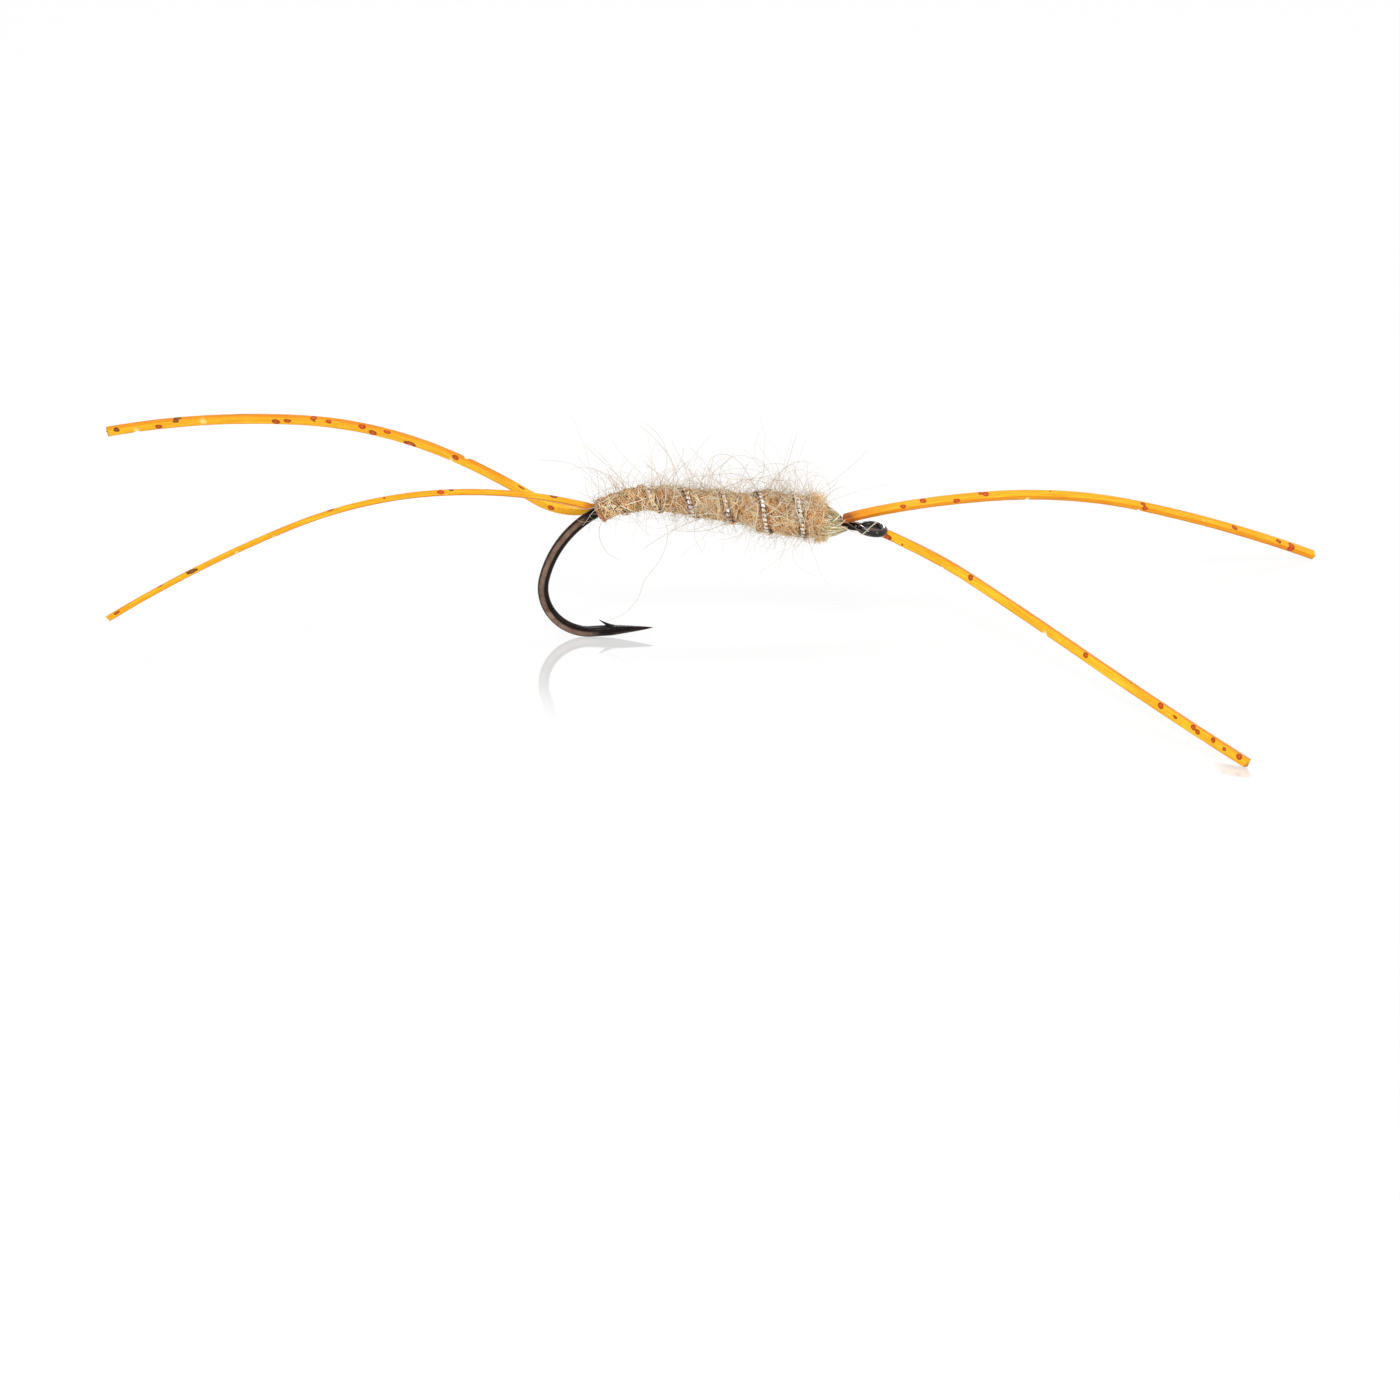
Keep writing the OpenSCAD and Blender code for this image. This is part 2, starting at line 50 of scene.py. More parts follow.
# Sizes of the part: hook
WIRE_R, EYE_WIRE_R, EYE_BORE_R, EYE_LAND, NECK_R = 0.3, 0.21, 0.49, 0.02, 0.35
EYE_SEAM, TILT, SHANK_LEN, TAPER_LEN = 58, 8.7, 10.35, 2.4
BEND_R1, BEND_A1, BEND_R2, BEND_A2 = 6.1, 85.5, 2.52, 107
POINT_LEN, POINT_TAPER, FORGE_T = 3.38, 2.3, 0.46
BARB_FROM_TIP, BARB_LEN, BARB_H, BARB_W = 2.45, 0.5, 0.36, 0.3
# Dressing
GAP = 0.03
HEAD_A, HEAD_B, HEAD_FRONT_R, HEAD_REAR_R = 0.72, 1.78, 0.4, 0.86
THORAX_A, THORAX_B, THORAX_R, SHOULDER = 1.81, 6.01, 1.1, 0.9
ABDOMEN_A, ABDOMEN_B, ABDOMEN_FRONT_R, ABDOMEN_REAR_R = 6.04, 13.84, 0.78, 0.56
BIND_A, BIND_B, BIND_R, FUR_LIFT = 13.87, 14.42, 0.64, 0.16
RIB_D, RIB_PITCH, RIB_SINK, FURROW_W, RIB_GAP, RIB_CROSS = 0.27, 2.05, 0.14, 0.5, 0.05, 2.98
# Guard hairs: count in each gap of the rib, longest, spread, root depth, free ends, shortest as a share
GUARD_N, GUARD_LEN, GUARD_SPREAD, HAIR_ROOT, HAIR_END, HAIR_SHORT = 14, 3.2, 72, 0.2, 0.5, 0.5
# Shares by which they bow, lean, lie across and stray, and the steps that scatter them
HAIR_BOW, HAIR_LEAN, HAIR_LAY, HAIR_STRAY = 0.3, 0.55, 0.3, 0.24
HAIR_SCATTER = (0.286, 0.653, 0.863, 0.337, 0.664)
# Rubber strands
STRAND_A, STRAND_B, STRAND_CORNER, FAR_FLECKS = 0.32, 0.5, 0.035, 9
STRAND_HD = math.hypot(STRAND_A, STRAND_B) / 2
SEAT_GAP, SEAT_DEPTH, EYE_CLEAR = 0.05, 0.09, 0.05
# Their length, the root's clock angle and gap from the wire, and yaw
NEAR_TAIL, FAR_TAIL = (28.0, 160, 0.15, 195), (28.9, 262, 0.12, 165)
NEAR_LEG, FAR_LEG = (31.4, 286, 0.09, -50), (30.75, 152, 0.09, 25.5)
FLOOR_Z = -6.33

EYE_R = EYE_BORE_R + EYE_WIRE_R - EYE_LAND
NECK_OUT = math.sqrt(EYE_R ** 2 + 2 * EYE_R * NECK_R)
NECK_TURN = math.degrees(math.acos(NECK_R / (EYE_R + NECK_R)))
LEN1 = BEND_R1 * math.radians(BEND_A1)
LEN2 = BEND_R2 * math.radians(BEND_A2)
AT_BEND2 = SHANK_LEN + LEN1
AT_POINT = AT_BEND2 + LEN2
HOOK_LEN = AT_POINT + POINT_LEN
HEADING0 = 180 - TILT
VIEW_ELEVATION = 21.3
CAMERA_AT = (-9.46, -401.973, 146.628)
TO_VIEW = np.array([0, -math.cos(math.radians(VIEW_ELEVATION)), math.sin(math.radians(VIEW_ELEVATION))])


# Curves of the part

def ease(u):
    c = np.clip(u, 0, 1)
    return c * c * (3 - 2 * c)


def left(a):
    a = np.radians(a)
    return np.stack([-np.sin(a), np.cos(a)], -1)


def ahead(a):
    a = np.radians(a)
    return np.stack([np.cos(a), np.sin(a)], -1)


def bent(s):
    """Headings of the hook after its first bend, and after both."""
    first = HEADING0 + np.clip((s - SHANK_LEN) / LEN1, 0, 1) * BEND_A1
    return first, first + np.clip((s - AT_BEND2) / LEN2, 0, 1) * BEND_A2


def heading(s):
    return bent(s)[1]


NECK_P = NECK_OUT * np.array([-math.cos(math.radians(TILT)), math.sin(math.radians(TILT))])


def centre(s):
    """Point of the hook's centre line, in its plane, at lengths s from the neck of the eye."""
    s = np.asarray(s, float)[..., None]
    a1, a2 = bent(s[..., 0])
    p = NECK_P + np.minimum(s, SHANK_LEN) * ahead(HEADING0)
    p = p + BEND_R1 * (left(HEADING0) - left(a1))
    p = p + BEND_R2 * (left(a1) - left(a2))
    return p + np.maximum(s - AT_POINT, 0) * ahead(HEADING0 + BEND_A1 + BEND_A2)


def round_wire(s, r, clock):
    """Point at a radius and clock angle round the wire: 0 is below the shank, 90 the near side."""
    s, r, clock = np.broadcast_arrays(np.asarray(s, float), r, clock)
    c, n, q = centre(s), left(heading(s)), r * np.cos(np.radians(clock))
    return np.stack([c[..., 0] + q * n[..., 0], -r * np.sin(np.radians(clock)), c[..., 1] + q * n[..., 1]], -1)


def round_fur(s, r, clock):
    """The same round the fur, whose middle lies above the shank and comes down to it toward the tail."""
    s, r, clock = np.broadcast_arrays(np.asarray(s, float), r, clock)
    lift = FUR_LIFT * (1 - ease((s - THORAX_A) / (ABDOMEN_B - THORAX_A)))
    n = left(heading(s))
    return round_wire(s, r, clock) - lift[..., None] * np.stack([n[..., 0], 0 * lift, n[..., 1]], -1)


def wire_radius(s):
    thin = EYE_WIRE_R + GAP / 2
    needle = WIRE_R * np.maximum((np.maximum(HOOK_LEN - s, 0) / POINT_TAPER) ** 0.75, 0.03)
    return np.where(s > HOOK_LEN - POINT_TAPER, needle, thin + (WIRE_R - thin) * ease(s / TAPER_LEN))


def rib_clock(s):
    straight, lead = RIB_D, 0.4
    lo, hi = THORAX_A + GAP + straight + lead, ABDOMEN_B - GAP - straight - lead
    u, v = np.clip((lo - s) / lead, 0, 1), np.clip((s - hi) / lead, 0, 1)
    run = np.where(s < lo, lo - lead * (u - u * u / 2), np.where(s > hi, hi + lead * (v - v * v / 2), s))
    return 90 + 360 * (run - RIB_CROSS) / RIB_PITCH


def furrow_depth(off):
    return np.where(off < FURROW_W, RIB_SINK * (1 - (np.minimum(off, FURROW_W) / FURROW_W) ** 2) ** 2, 0)


def rib_off(s, clock):
    """Distance from the rib, along the body."""
    d = (rib_clock(s) - clock) / 360
    return np.abs(d - np.round(d)) * RIB_PITCH


def by_rib(s, clock, width):
    """1 on the rib, falling to 0 beside it."""
    return np.exp(-(rib_off(s, clock) / width) ** 2)


def dub_radius(s):
    fore = s - THORAX_A < THORAX_B - s
    low = np.where(fore, HEAD_REAR_R, ABDOMEN_FRONT_R)
    u = np.minimum(s - THORAX_A, THORAX_B - s) / SHOULDER
    thorax = low + (THORAX_R - low) * ease(u)
    u = ease((s - ABDOMEN_A) / (ABDOMEN_B - ABDOMEN_A))
    return np.where(s < THORAX_B + GAP / 2, thorax, ABDOMEN_FRONT_R + (ABDOMEN_REAR_R - ABDOMEN_FRONT_R) * u)


def fur_radius(s, clock):
    return dub_radius(s) - furrow_depth(rib_off(s, clock))


def skin_radius(s, clock):
    """Radius of the fur, and of the thread behind it."""
    share = np.clip((s - BIND_A) / (BIND_B - BIND_A), 0, 1)
    fur = fur_radius(np.clip(s, THORAX_A, ABDOMEN_B), clock)
    return np.where(s > ABDOMEN_B, ABDOMEN_REAR_R + 0.05 + (BIND_R - ABDOMEN_REAR_R) * share, fur)


def rib_radius(s):
    tries = []
    for k in np.linspace(-1, 1, 9):
        d = k * RIB_D / 2
        at = np.clip(s + d, THORAX_A, ABDOMEN_B)
        tries.append(dub_radius(at) - furrow_depth(abs(d)) + math.sqrt(RIB_D ** 2 / 4 - d * d))
    return RIB_GAP + np.max(tries, 0)


def rib_crest(s, clock, base):
    """How far a fibre that lies over the rib rises above the fur."""
    s = np.clip(s, THORAX_A, ABDOMEN_B)
    return (rib_radius(s) + RIB_D / 2 + 0.01 - base) * by_rib(s, clock, 0.24)


def noise(p, size, seed):
    """Smooth value noise from -1 to 1 at points p, with cells of that size."""
    q = np.asarray(p, float) / size
    i = np.floor(q).astype(np.int64)
    f = q - i
    f = f * f * (3 - 2 * f)
    total = 0
    for d in itertools.product((0, 1), repeat=3):
        x, y, z = (i[..., k] + d[k] for k in range(3))
        h = (x * 73856093 ^ y * 19349663 ^ z * 83492791) + seed * 2654435761 & 0x7FFFFFFF
        h = (h ^ (h >> 13)) * 1274126177 & 0x7FFFFFFF
        value = ((h ^ (h >> 16)) & 0xFFFF) / 32767.5 - 1
        wx, wy, wz = (f[..., k] if d[k] else 1 - f[..., k] for k in range(3))
        total = total + value * (wx * wy) * wz
    return total


# Meshes

def unit(v):
    return v / np.maximum(np.linalg.norm(v, axis=-1, keepdims=True), 1e-12)


def add_piece(name, points, quads, tris, material, body, slot, replaced=(), values=None, uv=None):
    """A piece of the object from points in millimetres. values are named numbers of each point."""
    mesh = bpy.data.meshes.new(name)
    points = points.reshape(-1, 3)
    corners = np.concatenate([quads.ravel(), tris.ravel()])
    starts = np.concatenate([np.arange(len(quads)) * 4, len(quads) * 4 + np.arange(len(tris)) * 3])
    mesh.vertices.add(len(points))
    mesh.vertices.foreach_set("co", (points * MM).ravel())
    mesh.loops.add(len(corners))
    mesh.loops.foreach_set("vertex_index", corners)
    mesh.polygons.add(len(starts))
    mesh.polygons.foreach_set("loop_start", starts)
    mesh.update(calc_edges=True)
    mesh.shade_smooth()
    for key, value in (values or {}).items():
        value = np.asarray(value, np.float32)
        kind = "FLOAT" if value.ndim == 1 else "FLOAT_VECTOR"
        field = mesh.attributes.new(key, kind, "POINT")
        field.data.foreach_set("value" if value.ndim == 1 else "vector", value.ravel())
    if uv is not None:
        layer = mesh.uv_layers.new(name="OFBake")
        layer.data.foreach_set("uv", np.asarray(uv, np.float32)[corners].ravel())
    mesh.materials.append(material)
    piece = bpy.data.objects.new(name, mesh)
    bpy.context.scene.collection.objects.link(piece)
    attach(piece, body)
    if replaced:
        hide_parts(*replaced)
    return piece


def ring_faces(n, m, closed=False):
    """Faces through n rings of m points, with a fan of triangles at each end, or closed from last to first."""
    i = np.arange(n if closed else n - 1)[:, None] * m
    j = np.arange(m)[None, :]
    k = (j + 1) % m
    after = (i + m) % (n * m)
    quads = np.stack([i + j, i + k, after + k, after + j], -1).reshape(-1, 4)
    fan = np.stack([np.zeros(m - 2, int), np.arange(1, m - 1), np.arange(2, m)], -1)
    tris = np.concatenate([fan[:, ::-1], (n - 1) * m + fan])
    return quads, tris[:0] if closed else tris


def loft(rings, closed=False):
    """Points, quads and triangles through rings of points, facing outward."""
    points = rings.reshape(-1, 3)
    quads, tris = ring_faces(*rings.shape[:2], closed)
    t = np.concatenate([quads[:, [0, 1, 2]], quads[:, [0, 2, 3]], tris])
    volume = np.einsum("ij,ij->i", points[t[:, 0]], np.cross(points[t[:, 1]], points[t[:, 2]])).sum()
    return (points, quads, tris) if volume > 0 else (points, quads[:, ::-1], tris[:, ::-1])


def joined(first, second):
    """One mesh of two: the points of both, and the faces of the second counted on from the first."""
    points, *faces = zip(first, second)
    return [np.concatenate(points)] + [np.concatenate([a, b + len(first[0])]) for a, b in faces]


def circle(m):
    """Angles of m points round a section."""
    return np.arange(m) * 2 * math.pi / m


def run_along(line):
    """Length along a line, at each of its points."""
    return np.concatenate([[0], np.cumsum(np.linalg.norm(np.diff(line, axis=0), axis=1))])


def sides(line, out):
    """Directions across a line: the one nearest to out, and the one square to it."""
    t = unit(np.gradient(line, axis=0))
    u = unit(out - np.einsum("ki,ki->k", out, t)[:, None] * t)
    return u, np.cross(t, u)


def add_hairs(name, paths, radii, material, slot="tan_dubbing", clump=0.0):
    """A piece of closed three-sided hairs along paths, an array of hair, step and axis. Their shades,
    in the first coordinate of the map, are random, and alike in places by the share clump."""
    count, steps = paths.shape[:2]
    t = unit(np.gradient(paths, axis=1))
    ref = unit(rng.normal(size=(count, 1, 3)))
    u = unit(np.cross(t, ref + 0.37 * np.cross(t[:, :1], ref)))
    v = np.cross(t, u)
    turn = circle(3)
    ring = np.cos(turn)[:, None] * u[:, :, None] + np.sin(turn)[:, None] * v[:, :, None]
    points = paths[:, :, None] + radii[:, :, None, None] * ring
    base = np.arange(count)[:, None] * steps * 3
    quads, tris = ring_faces(steps, 3)
    quads = (base[..., None] + quads).reshape(-1, 4)
    tris = np.concatenate([base + tris[0], base + tris[1]])
    place = 0.5 + 0.75 * noise(paths[:, steps // 2], 0.24, 31)
    shade = np.clip((1 - clump) * rng.random(count) + clump * place, 0, 1)
    # Each hair has a narrow column of the map
    shade = np.broadcast_to(shade[:, None, None] * 0.98, (count, steps, 3)) + np.arange(3) * 0.006
    along = np.broadcast_to(np.linspace(0.02, 0.98, steps)[None, :, None], (count, steps, 3))
    uv = np.stack([shade, along], -1).reshape(-1, 2)
    add_piece(name, points, quads, tris, material, HOOK_BODY, slot, uv=uv)


# Materials

WHITE = (1, 1, 1, 1)


def srgb(r, g, b):
    """Linear colour of display levels from 0 to 255."""
    c = np.array([r, g, b]) / 255
    return tuple(np.where(c <= 0.04045, c / 12.92, ((c + 0.055) / 1.055) ** 2.4)) + (1.0,)


def grey(v):
    return (v, v, v, 1.0)


class Nodes:
    """A node tree, built from its inputs to its output."""

    def __init__(self, tree):
        self.tree = tree

    def node(self, kind, settings=None, **inputs):
        """A node with its settings and inputs, by name or, as i0, i1 and so on, by number."""
        n = self.tree.nodes.new("ShaderNode" + kind)
        for key, value in (settings or {}).items():
            setattr(n, key, value)
        for key, value in inputs.items():
            self.put(n.inputs[int(key[1:]) if key[1:].isdigit() else key.replace("_", " ")], value)
        return n

    def put(self, socket, value):
        if isinstance(value, bpy.types.NodeSocket):
            self.tree.links.new(value, socket)
        else:
            socket.default_value = value

    def math(self, operation, a, b):
        return self.node("Math", {"operation": operation}, i0=a, i1=b).outputs[0]

    def smooth(self, value, low, high, start=0.0, full=1.0):
        kind = {"interpolation_type": "SMOOTHSTEP"}
        return self.node("MapRange", kind, i0=value, i1=start, i2=full, i3=low, i4=high).outputs[0]

    def direct_view(self):
        """1 for rays of the camera, of mirrors and of clear bodies, 0 for rays that carry light to a surface."""
        rays = self.node("LightPath").outputs
        seen = self.math("MAXIMUM", rays["Is Camera Ray"], rays["Is Glossy Ray"])
        return self.math("MAXIMUM", seen, rays["Is Transmission Ray"])


class Shader(Nodes):
    """A material of one Principled surface."""

    def __init__(self, name, **sockets):
        self.material = bpy.data.materials.new(name)
        self.material.use_nodes = True
        super().__init__(self.material.node_tree)
        self.surface = self.tree.nodes["Principled BSDF"]
        self.set(**sockets)

    def set(self, **sockets):
        for key, value in sockets.items():
            self.put(self.surface.inputs[key.replace("_", " ")], value)
        return self.material

    def field(self, name, output="Fac"):
        return self.node("Attribute", {"attribute_name": name}).outputs[output]

    def ramp(self, value, *stops):
        """Colours between stops, each a place with three display levels, or with one linear grey."""
        n = self.node("ValToRGB", i0=value)
        while len(n.color_ramp.elements) < len(stops):
            n.color_ramp.elements.new(0.5)
        for element, (at, *levels) in zip(n.color_ramp.elements, stops):
            element.position = at
            element.color = srgb(*levels) if len(levels) == 3 else grey(*levels)
        return n.outputs["Color"]

    def mix(self, amount, a, b, blend="MIX"):
        n = self.node("Mix", {"data_type": "RGBA", "blend_type": blend}, i0=amount, i6=a, i7=b)
        return n.outputs[2]

    def between(self, value, low, high):
        return self.node("MapRange", i0=value, i3=low, i4=high).outputs[0]

    def noise(self, vector, stretch, scale=1.0, detail=3.0, rough=0.6):
        place = self.node("VectorMath", {"operation": "MULTIPLY"}, i0=vector, i1=stretch).outputs[0]
        return self.node("TexNoise", Vector=place, Scale=scale, Detail=detail, Roughness=rough).outputs["Fac"]

    def place(self):
        return self.node("TexCoord").outputs["Object"]

    def bump(self, height, strength, distance):
        self.set(Normal=self.node("Bump", Height=height, Strength=strength, Distance=distance).outputs[0])


def rubber_material():
    """Amber rubber: bright and deeper faces, edges darkened by painted shade, pale nicks, and flecks with dark
    rims.
    """
    m = Shader("amber_rubber", IOR=1.4, Specular_IOR_Level=0.2, Subsurface_Weight=0.06, Subsurface_Scale=0.0003,
               Subsurface_Radius=(1.0, 0.5, 0.1))
    lay = m.field("lay", "Vector")
    streak = m.noise(lay, (0.5, 11.0, 1.0), 1.0, 4.0, 0.65)
    cloud = m.noise(lay, (0.35, 1.2, 1.0), 1.0, 2.0, 0.5)
    speck = m.noise(lay, (9.0, 16.0, 1.0), 1.0, 2.0, 0.6)
    bright = m.ramp(streak, (0.32, 236, 163, 20), (0.5, 249, 193, 35), (0.7, 253, 213, 52))
    deep = m.ramp(streak, (0.32, 214, 120, 10), (0.55, 236, 146, 18), (0.75, 246, 168, 34))
    face = m.mix(m.field("narrow"), bright, deep)
    face = m.mix(m.ramp(cloud, (0.42, 0.0), (0.7, 0.4)), face, srgb(240, 158, 24))
    face = m.mix(m.ramp(speck, (0.66, 0.0), (0.74, 0.5)), face, srgb(212, 120, 18))
    # Painted shade: darkens the two edges along the strand's outline
    face = m.mix(m.math("MULTIPLY", m.field("rim"), 0.95), face, srgb(172, 84, 14))
    dark = m.ramp(streak, (0.4, 92, 38, 14), (0.6, 172, 80, 24))
    # The root: stain at the tie-in, and painted shade where the near leg lies behind the eye
    face = m.mix(m.field("root"), face, m.mix(m.field("shade_and_stain"), srgb(222, 112, 14), dark))
    face = m.mix(m.field("nick"), face, srgb(255, 226, 130))
    wobble = m.noise(lay, (6.0, 6.0, 1.0), 1.0, 2.0, 0.5)
    edge = m.math("ADD", m.field("fleck"), m.math("MULTIPLY", m.math("SUBTRACT", wobble, 0.5), 0.6))
    red = m.ramp(edge, (0.0, 230, 108, 38), (0.45, 212, 78, 22), (0.78, 158, 52, 14))
    brown = m.ramp(edge, (0.0, 158, 104, 44), (0.5, 122, 74, 30), (0.8, 84, 46, 18))
    inside = m.ramp(edge, (0.78, 1.0), (0.95, 0.0))
    m.bump(streak, 0.3, 0.00003)
    return m.set(Base_Color=m.mix(inside, face, m.mix(m.field("brown"), red, brown)),
                 Roughness=m.between(streak, 0.3, 0.5))


def hook_material():
    """Bronze-black lacquer, polished on the eye; the forged flats are painted lighter and the rounded edges
    near-black, as painted reflection.
    """
    m = Shader("bronzed_wire", IOR=1.3, Specular_IOR_Level=0.3)
    place = m.place()
    grain = m.noise(place, (900.0,) * 3, 2.2, 4.0, 0.65)
    cloud = m.noise(place, (900.0,) * 3, 0.5, 3.0, 0.6)
    # Painted reflection: the lighter brown-grey of the forged flats, against the near-black rounded edges below;
    # it also colours the lighter ground facet under the needle's tip
    painted_light_flats_and_facet = m.ramp(grain, (0.32, 90, 69, 57), (0.52, 130, 105, 90), (0.72, 158, 133, 116))
    painted_light_flats_and_facet = m.mix(m.ramp(cloud, (0.4, 0.0), (0.65, 0.6)), painted_light_flats_and_facet, srgb(106, 81, 66))
    dark = m.ramp(grain, (0.35, 12, 6, 5), (0.7, 30, 19, 16))
    ring = m.field("ring")
    m.bump(grain, 0.08, 0.00002)
    return m.set(Base_Color=m.mix(m.field("flat"), dark, painted_light_flats_and_facet),
                 Roughness=m.mix(ring, m.between(grain, 0.14, 0.34), grey(0.06)),
                 Specular_IOR_Level=m.mix(ring, grey(0.3), grey(1.0)))


def hair_material(name, *stops, rough=0.55):
    """Fur: each hair takes its own colour, by the first coordinate of its map."""
    m = Shader(name, Roughness=rough, IOR=1.5, Sheen_Weight=0.15, Specular_IOR_Level=0.35)
    shade = m.node("SeparateXYZ", i0=m.node("UVMap", {"uv_map": "OFBake"}).outputs[0]).outputs["X"]
    return m.set(Base_Color=m.ramp(shade, *stops))


def felt_material():
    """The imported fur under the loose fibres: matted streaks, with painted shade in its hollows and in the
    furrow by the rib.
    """
    low = (100, 52, 23)
    m = Shader("tan_felt", Roughness=0.85, Sheen_Weight=0.3, Specular_IOR_Level=0.2)
    place = m.place()
    fine = m.noise(place, (5200.0, 14000.0, 14000.0), 1.0, 5.0, 0.7)
    patch = m.noise(place, (1100.0,) * 3, 1.0, 3.0, 0.6)
    colour = m.ramp(fine, (0.3, *low), (0.52, 198, 131, 75), (0.75, 242, 190, 130))
    # Painted shade in the dips between lumps and in the furrow by the rib
    colour = m.mix(m.ramp(m.field("painted_hollow_shade"), (0.0, 0.0), (1.0, 0.85)), colour, srgb(*low))
    m.bump(fine, 0.6, 0.00006)
    return m.set(Base_Color=m.mix(m.ramp(patch, (0.45, 0.0), (0.75, 0.5)), colour, srgb(176, 108, 62)))


def tinsel_material():
    """Bright metal tape wound on a core: silver on the crowns, and brown between the turns and at the flanks,
    which is painted shade of the creases and the furrow, with the brown thread at the flanks.
    """
    m = Shader("silver_tinsel", Metallic=0.45)
    grain = m.noise(m.place(), (1000.0,) * 3, 6.0, 3.0, 0.6)
    crown = m.ramp(grain, (0.3, 226, 222, 216), (0.7, 255, 254, 252))
    crown = m.mix(m.ramp(m.field("bead"), (0.2, 0.8), (0.55, 0.0)), crown, srgb(150, 126, 102))
    # Painted shade in the creases between the turns, and at the flanks painted shade of the furrow with the brown
    # thread beside it
    groove_shade = m.ramp(m.field("groove_shade"), (0.22, 0.0), (0.42, 1.0))
    flank_thread_and_shade = m.ramp(m.field("flank_thread_and_shade"), (0.74, 0.0), (0.9, 0.95))
    return m.set(Base_Color=m.mix(m.mix(1.0, groove_shade, flank_thread_and_shade, "LIGHTEN"), crown, srgb(96, 60, 36)),
                 Roughness=m.between(grain, 0.16, 0.34))


def thread_material(name, low, mid, high):
    """Waxed thread: twisted filaments along each turn."""
    m = Shader(name, Roughness=0.48, Sheen_Weight=0.2)
    twist = m.noise(m.field("lay", "Vector"), (3.0, 10.0, 1.0), 1.4, 3.0, 0.6)
    colour = m.ramp(twist, (0.3, *low), (0.52, *mid), (0.74, *high))
    m.bump(twist, 0.4, 0.00002)
    return m.set(Base_Color=m.mix(m.field("spot"), colour, srgb(158, 66, 34)))


RUBBER = rubber_material()
BRONZE = hook_material()
TINSEL = tinsel_material()
FELT = felt_material()
BROWN_THREAD = thread_material("brown_thread", (106, 54, 22), (182, 120, 68), (222, 174, 120))
HEAD_THREAD = thread_material("head_thread", (96, 70, 30), (178, 146, 82), (226, 202, 146))
FIBRE = hair_material("tan_fibre", (0.0, 112, 56, 23), (0.28, 194, 118, 57), (0.55, 243, 181, 107),
                      (0.85, 254, 217, 154), (1.0, 255, 235, 193))
PALE_FIBRE = hair_material("pale_fibre", (0.0, 218, 162, 100), (0.35, 244, 202, 142), (0.7, 254, 230, 182),
                           (1.0, 255, 247, 220))
CREAM = hair_material("cream_strand", (0.0, 240, 220, 172), (1.0, 255, 250, 232), rough=0.4)
FUZZ = hair_material("loose_fuzz", (0.0, 164, 136, 106), (0.4, 214, 192, 162), (1.0, 250, 240, 224))
STRAW = hair_material("straw_fibre", (0.0, 140, 112, 52), (0.25, 206, 180, 112), (0.55, 244, 230, 186),
                      (1.0, 255, 252, 240), rough=0.4)
HEAD_STRAW = hair_material("head_straw", (0.0, 120, 90, 42), (0.28, 198, 168, 106), (0.55, 244, 228, 178),
                           (1.0, 255, 252, 240), rough=0.4)


# Hook

def eye_path():
    """Centre line from the free end of the ring, round the eye and through the neck, to the shank."""
    start = 270 - NECK_TURN
    p = EYE_R * ahead(np.linspace(start + 360 - EYE_SEAM, start, 64))
    q = np.array([-NECK_OUT, -NECK_R]) + NECK_R * ahead(np.linspace(90 - NECK_TURN, 90, 14)[1:-1])
    x, y = np.concatenate([p, q]).T
    c, s = ahead(TILT)
    return np.stack([x * c, y, -x * s], -1), len(p)


def make_hook():
    m = 36
    eye, ring_n = eye_path()
    s = np.concatenate([np.linspace(0, SHANK_LEN, 40), np.linspace(SHANK_LEN, AT_POINT, 150)[1:],
                        np.linspace(AT_POINT, HOOK_LEN, 60)[1:]])
    line = np.concatenate([eye, round_wire(s, 0, 0)])
    r = np.concatenate([np.full(len(eye), EYE_WIRE_R), wire_radius(s)])
    # The free end of the ring is rounded
    tip = 8
    r[:tip] = EYE_WIRE_R * np.sqrt(1 - (1 - (np.arange(tip) + 0.4) / (tip + 0.4)) ** 2)
    r[ring_n:len(eye)] = np.linspace(EYE_WIRE_R, wire_radius(0.0), len(eye) - ring_n)
    t = unit(np.gradient(line, axis=0))
    side = np.empty_like(line)
    side[-1] = (0, -1, 0)
    for k in range(len(line) - 2, -1, -1):
        side[k] = unit(side[k + 1] - (side[k + 1] @ t[k]) * t[k])
    inner = np.cross(side, t)
    lead = 1.2
    forged = ease((s - BIND_B - 0.4) / lead) * ease((AT_POINT + 0.6 - s) / lead)
    full = np.concatenate([np.zeros(len(eye)), forged])
    a = np.radians(360 * (np.arange(m) + 0.5) / m)
    q, y = r[:, None] * np.cos(a), r[:, None] * np.sin(a)
    square = 10
    pressed = y / (1 + np.abs(y / (FORGE_T / 2)) ** square) ** (1 / square)
    pressed = y + (pressed - y) * full[:, None]
    rings = line[:, None] + q[..., None] * inner[:, None] + pressed[..., None] * side[:, None]
    # Painted reflection: marks the forged flats for a lighter colour than the rounded edges
    flat = full[:, None] * ease((np.cos(a) + 0.8) / 0.2) * ease((0.3 - np.cos(a)) / 0.3)
    # The hand-ground needle shows a lighter facet under its tip
    ground = np.concatenate([np.zeros(len(eye)), ease((s - HOOK_LEN + POINT_TAPER + 0.2) / 0.5)])
    flat = np.maximum(flat, 0.35 * ground[:, None] * ease((-np.cos(a) - 0.1) / 0.5))
    ring = np.broadcast_to(np.concatenate([np.ones(len(eye)), np.zeros(len(s))])[:, None], flat.shape)
    barb = loft(barb_rings())
    bare = np.zeros(len(barb[0]))
    values = {"flat": np.concatenate([flat.ravel(), bare]), "ring": np.concatenate([ring.ravel(), bare])}
    return add_piece("hook_wire", *joined(loft(rings), barb), BRONZE, HOOK_BODY, "hook_wire", ["hook"], values)


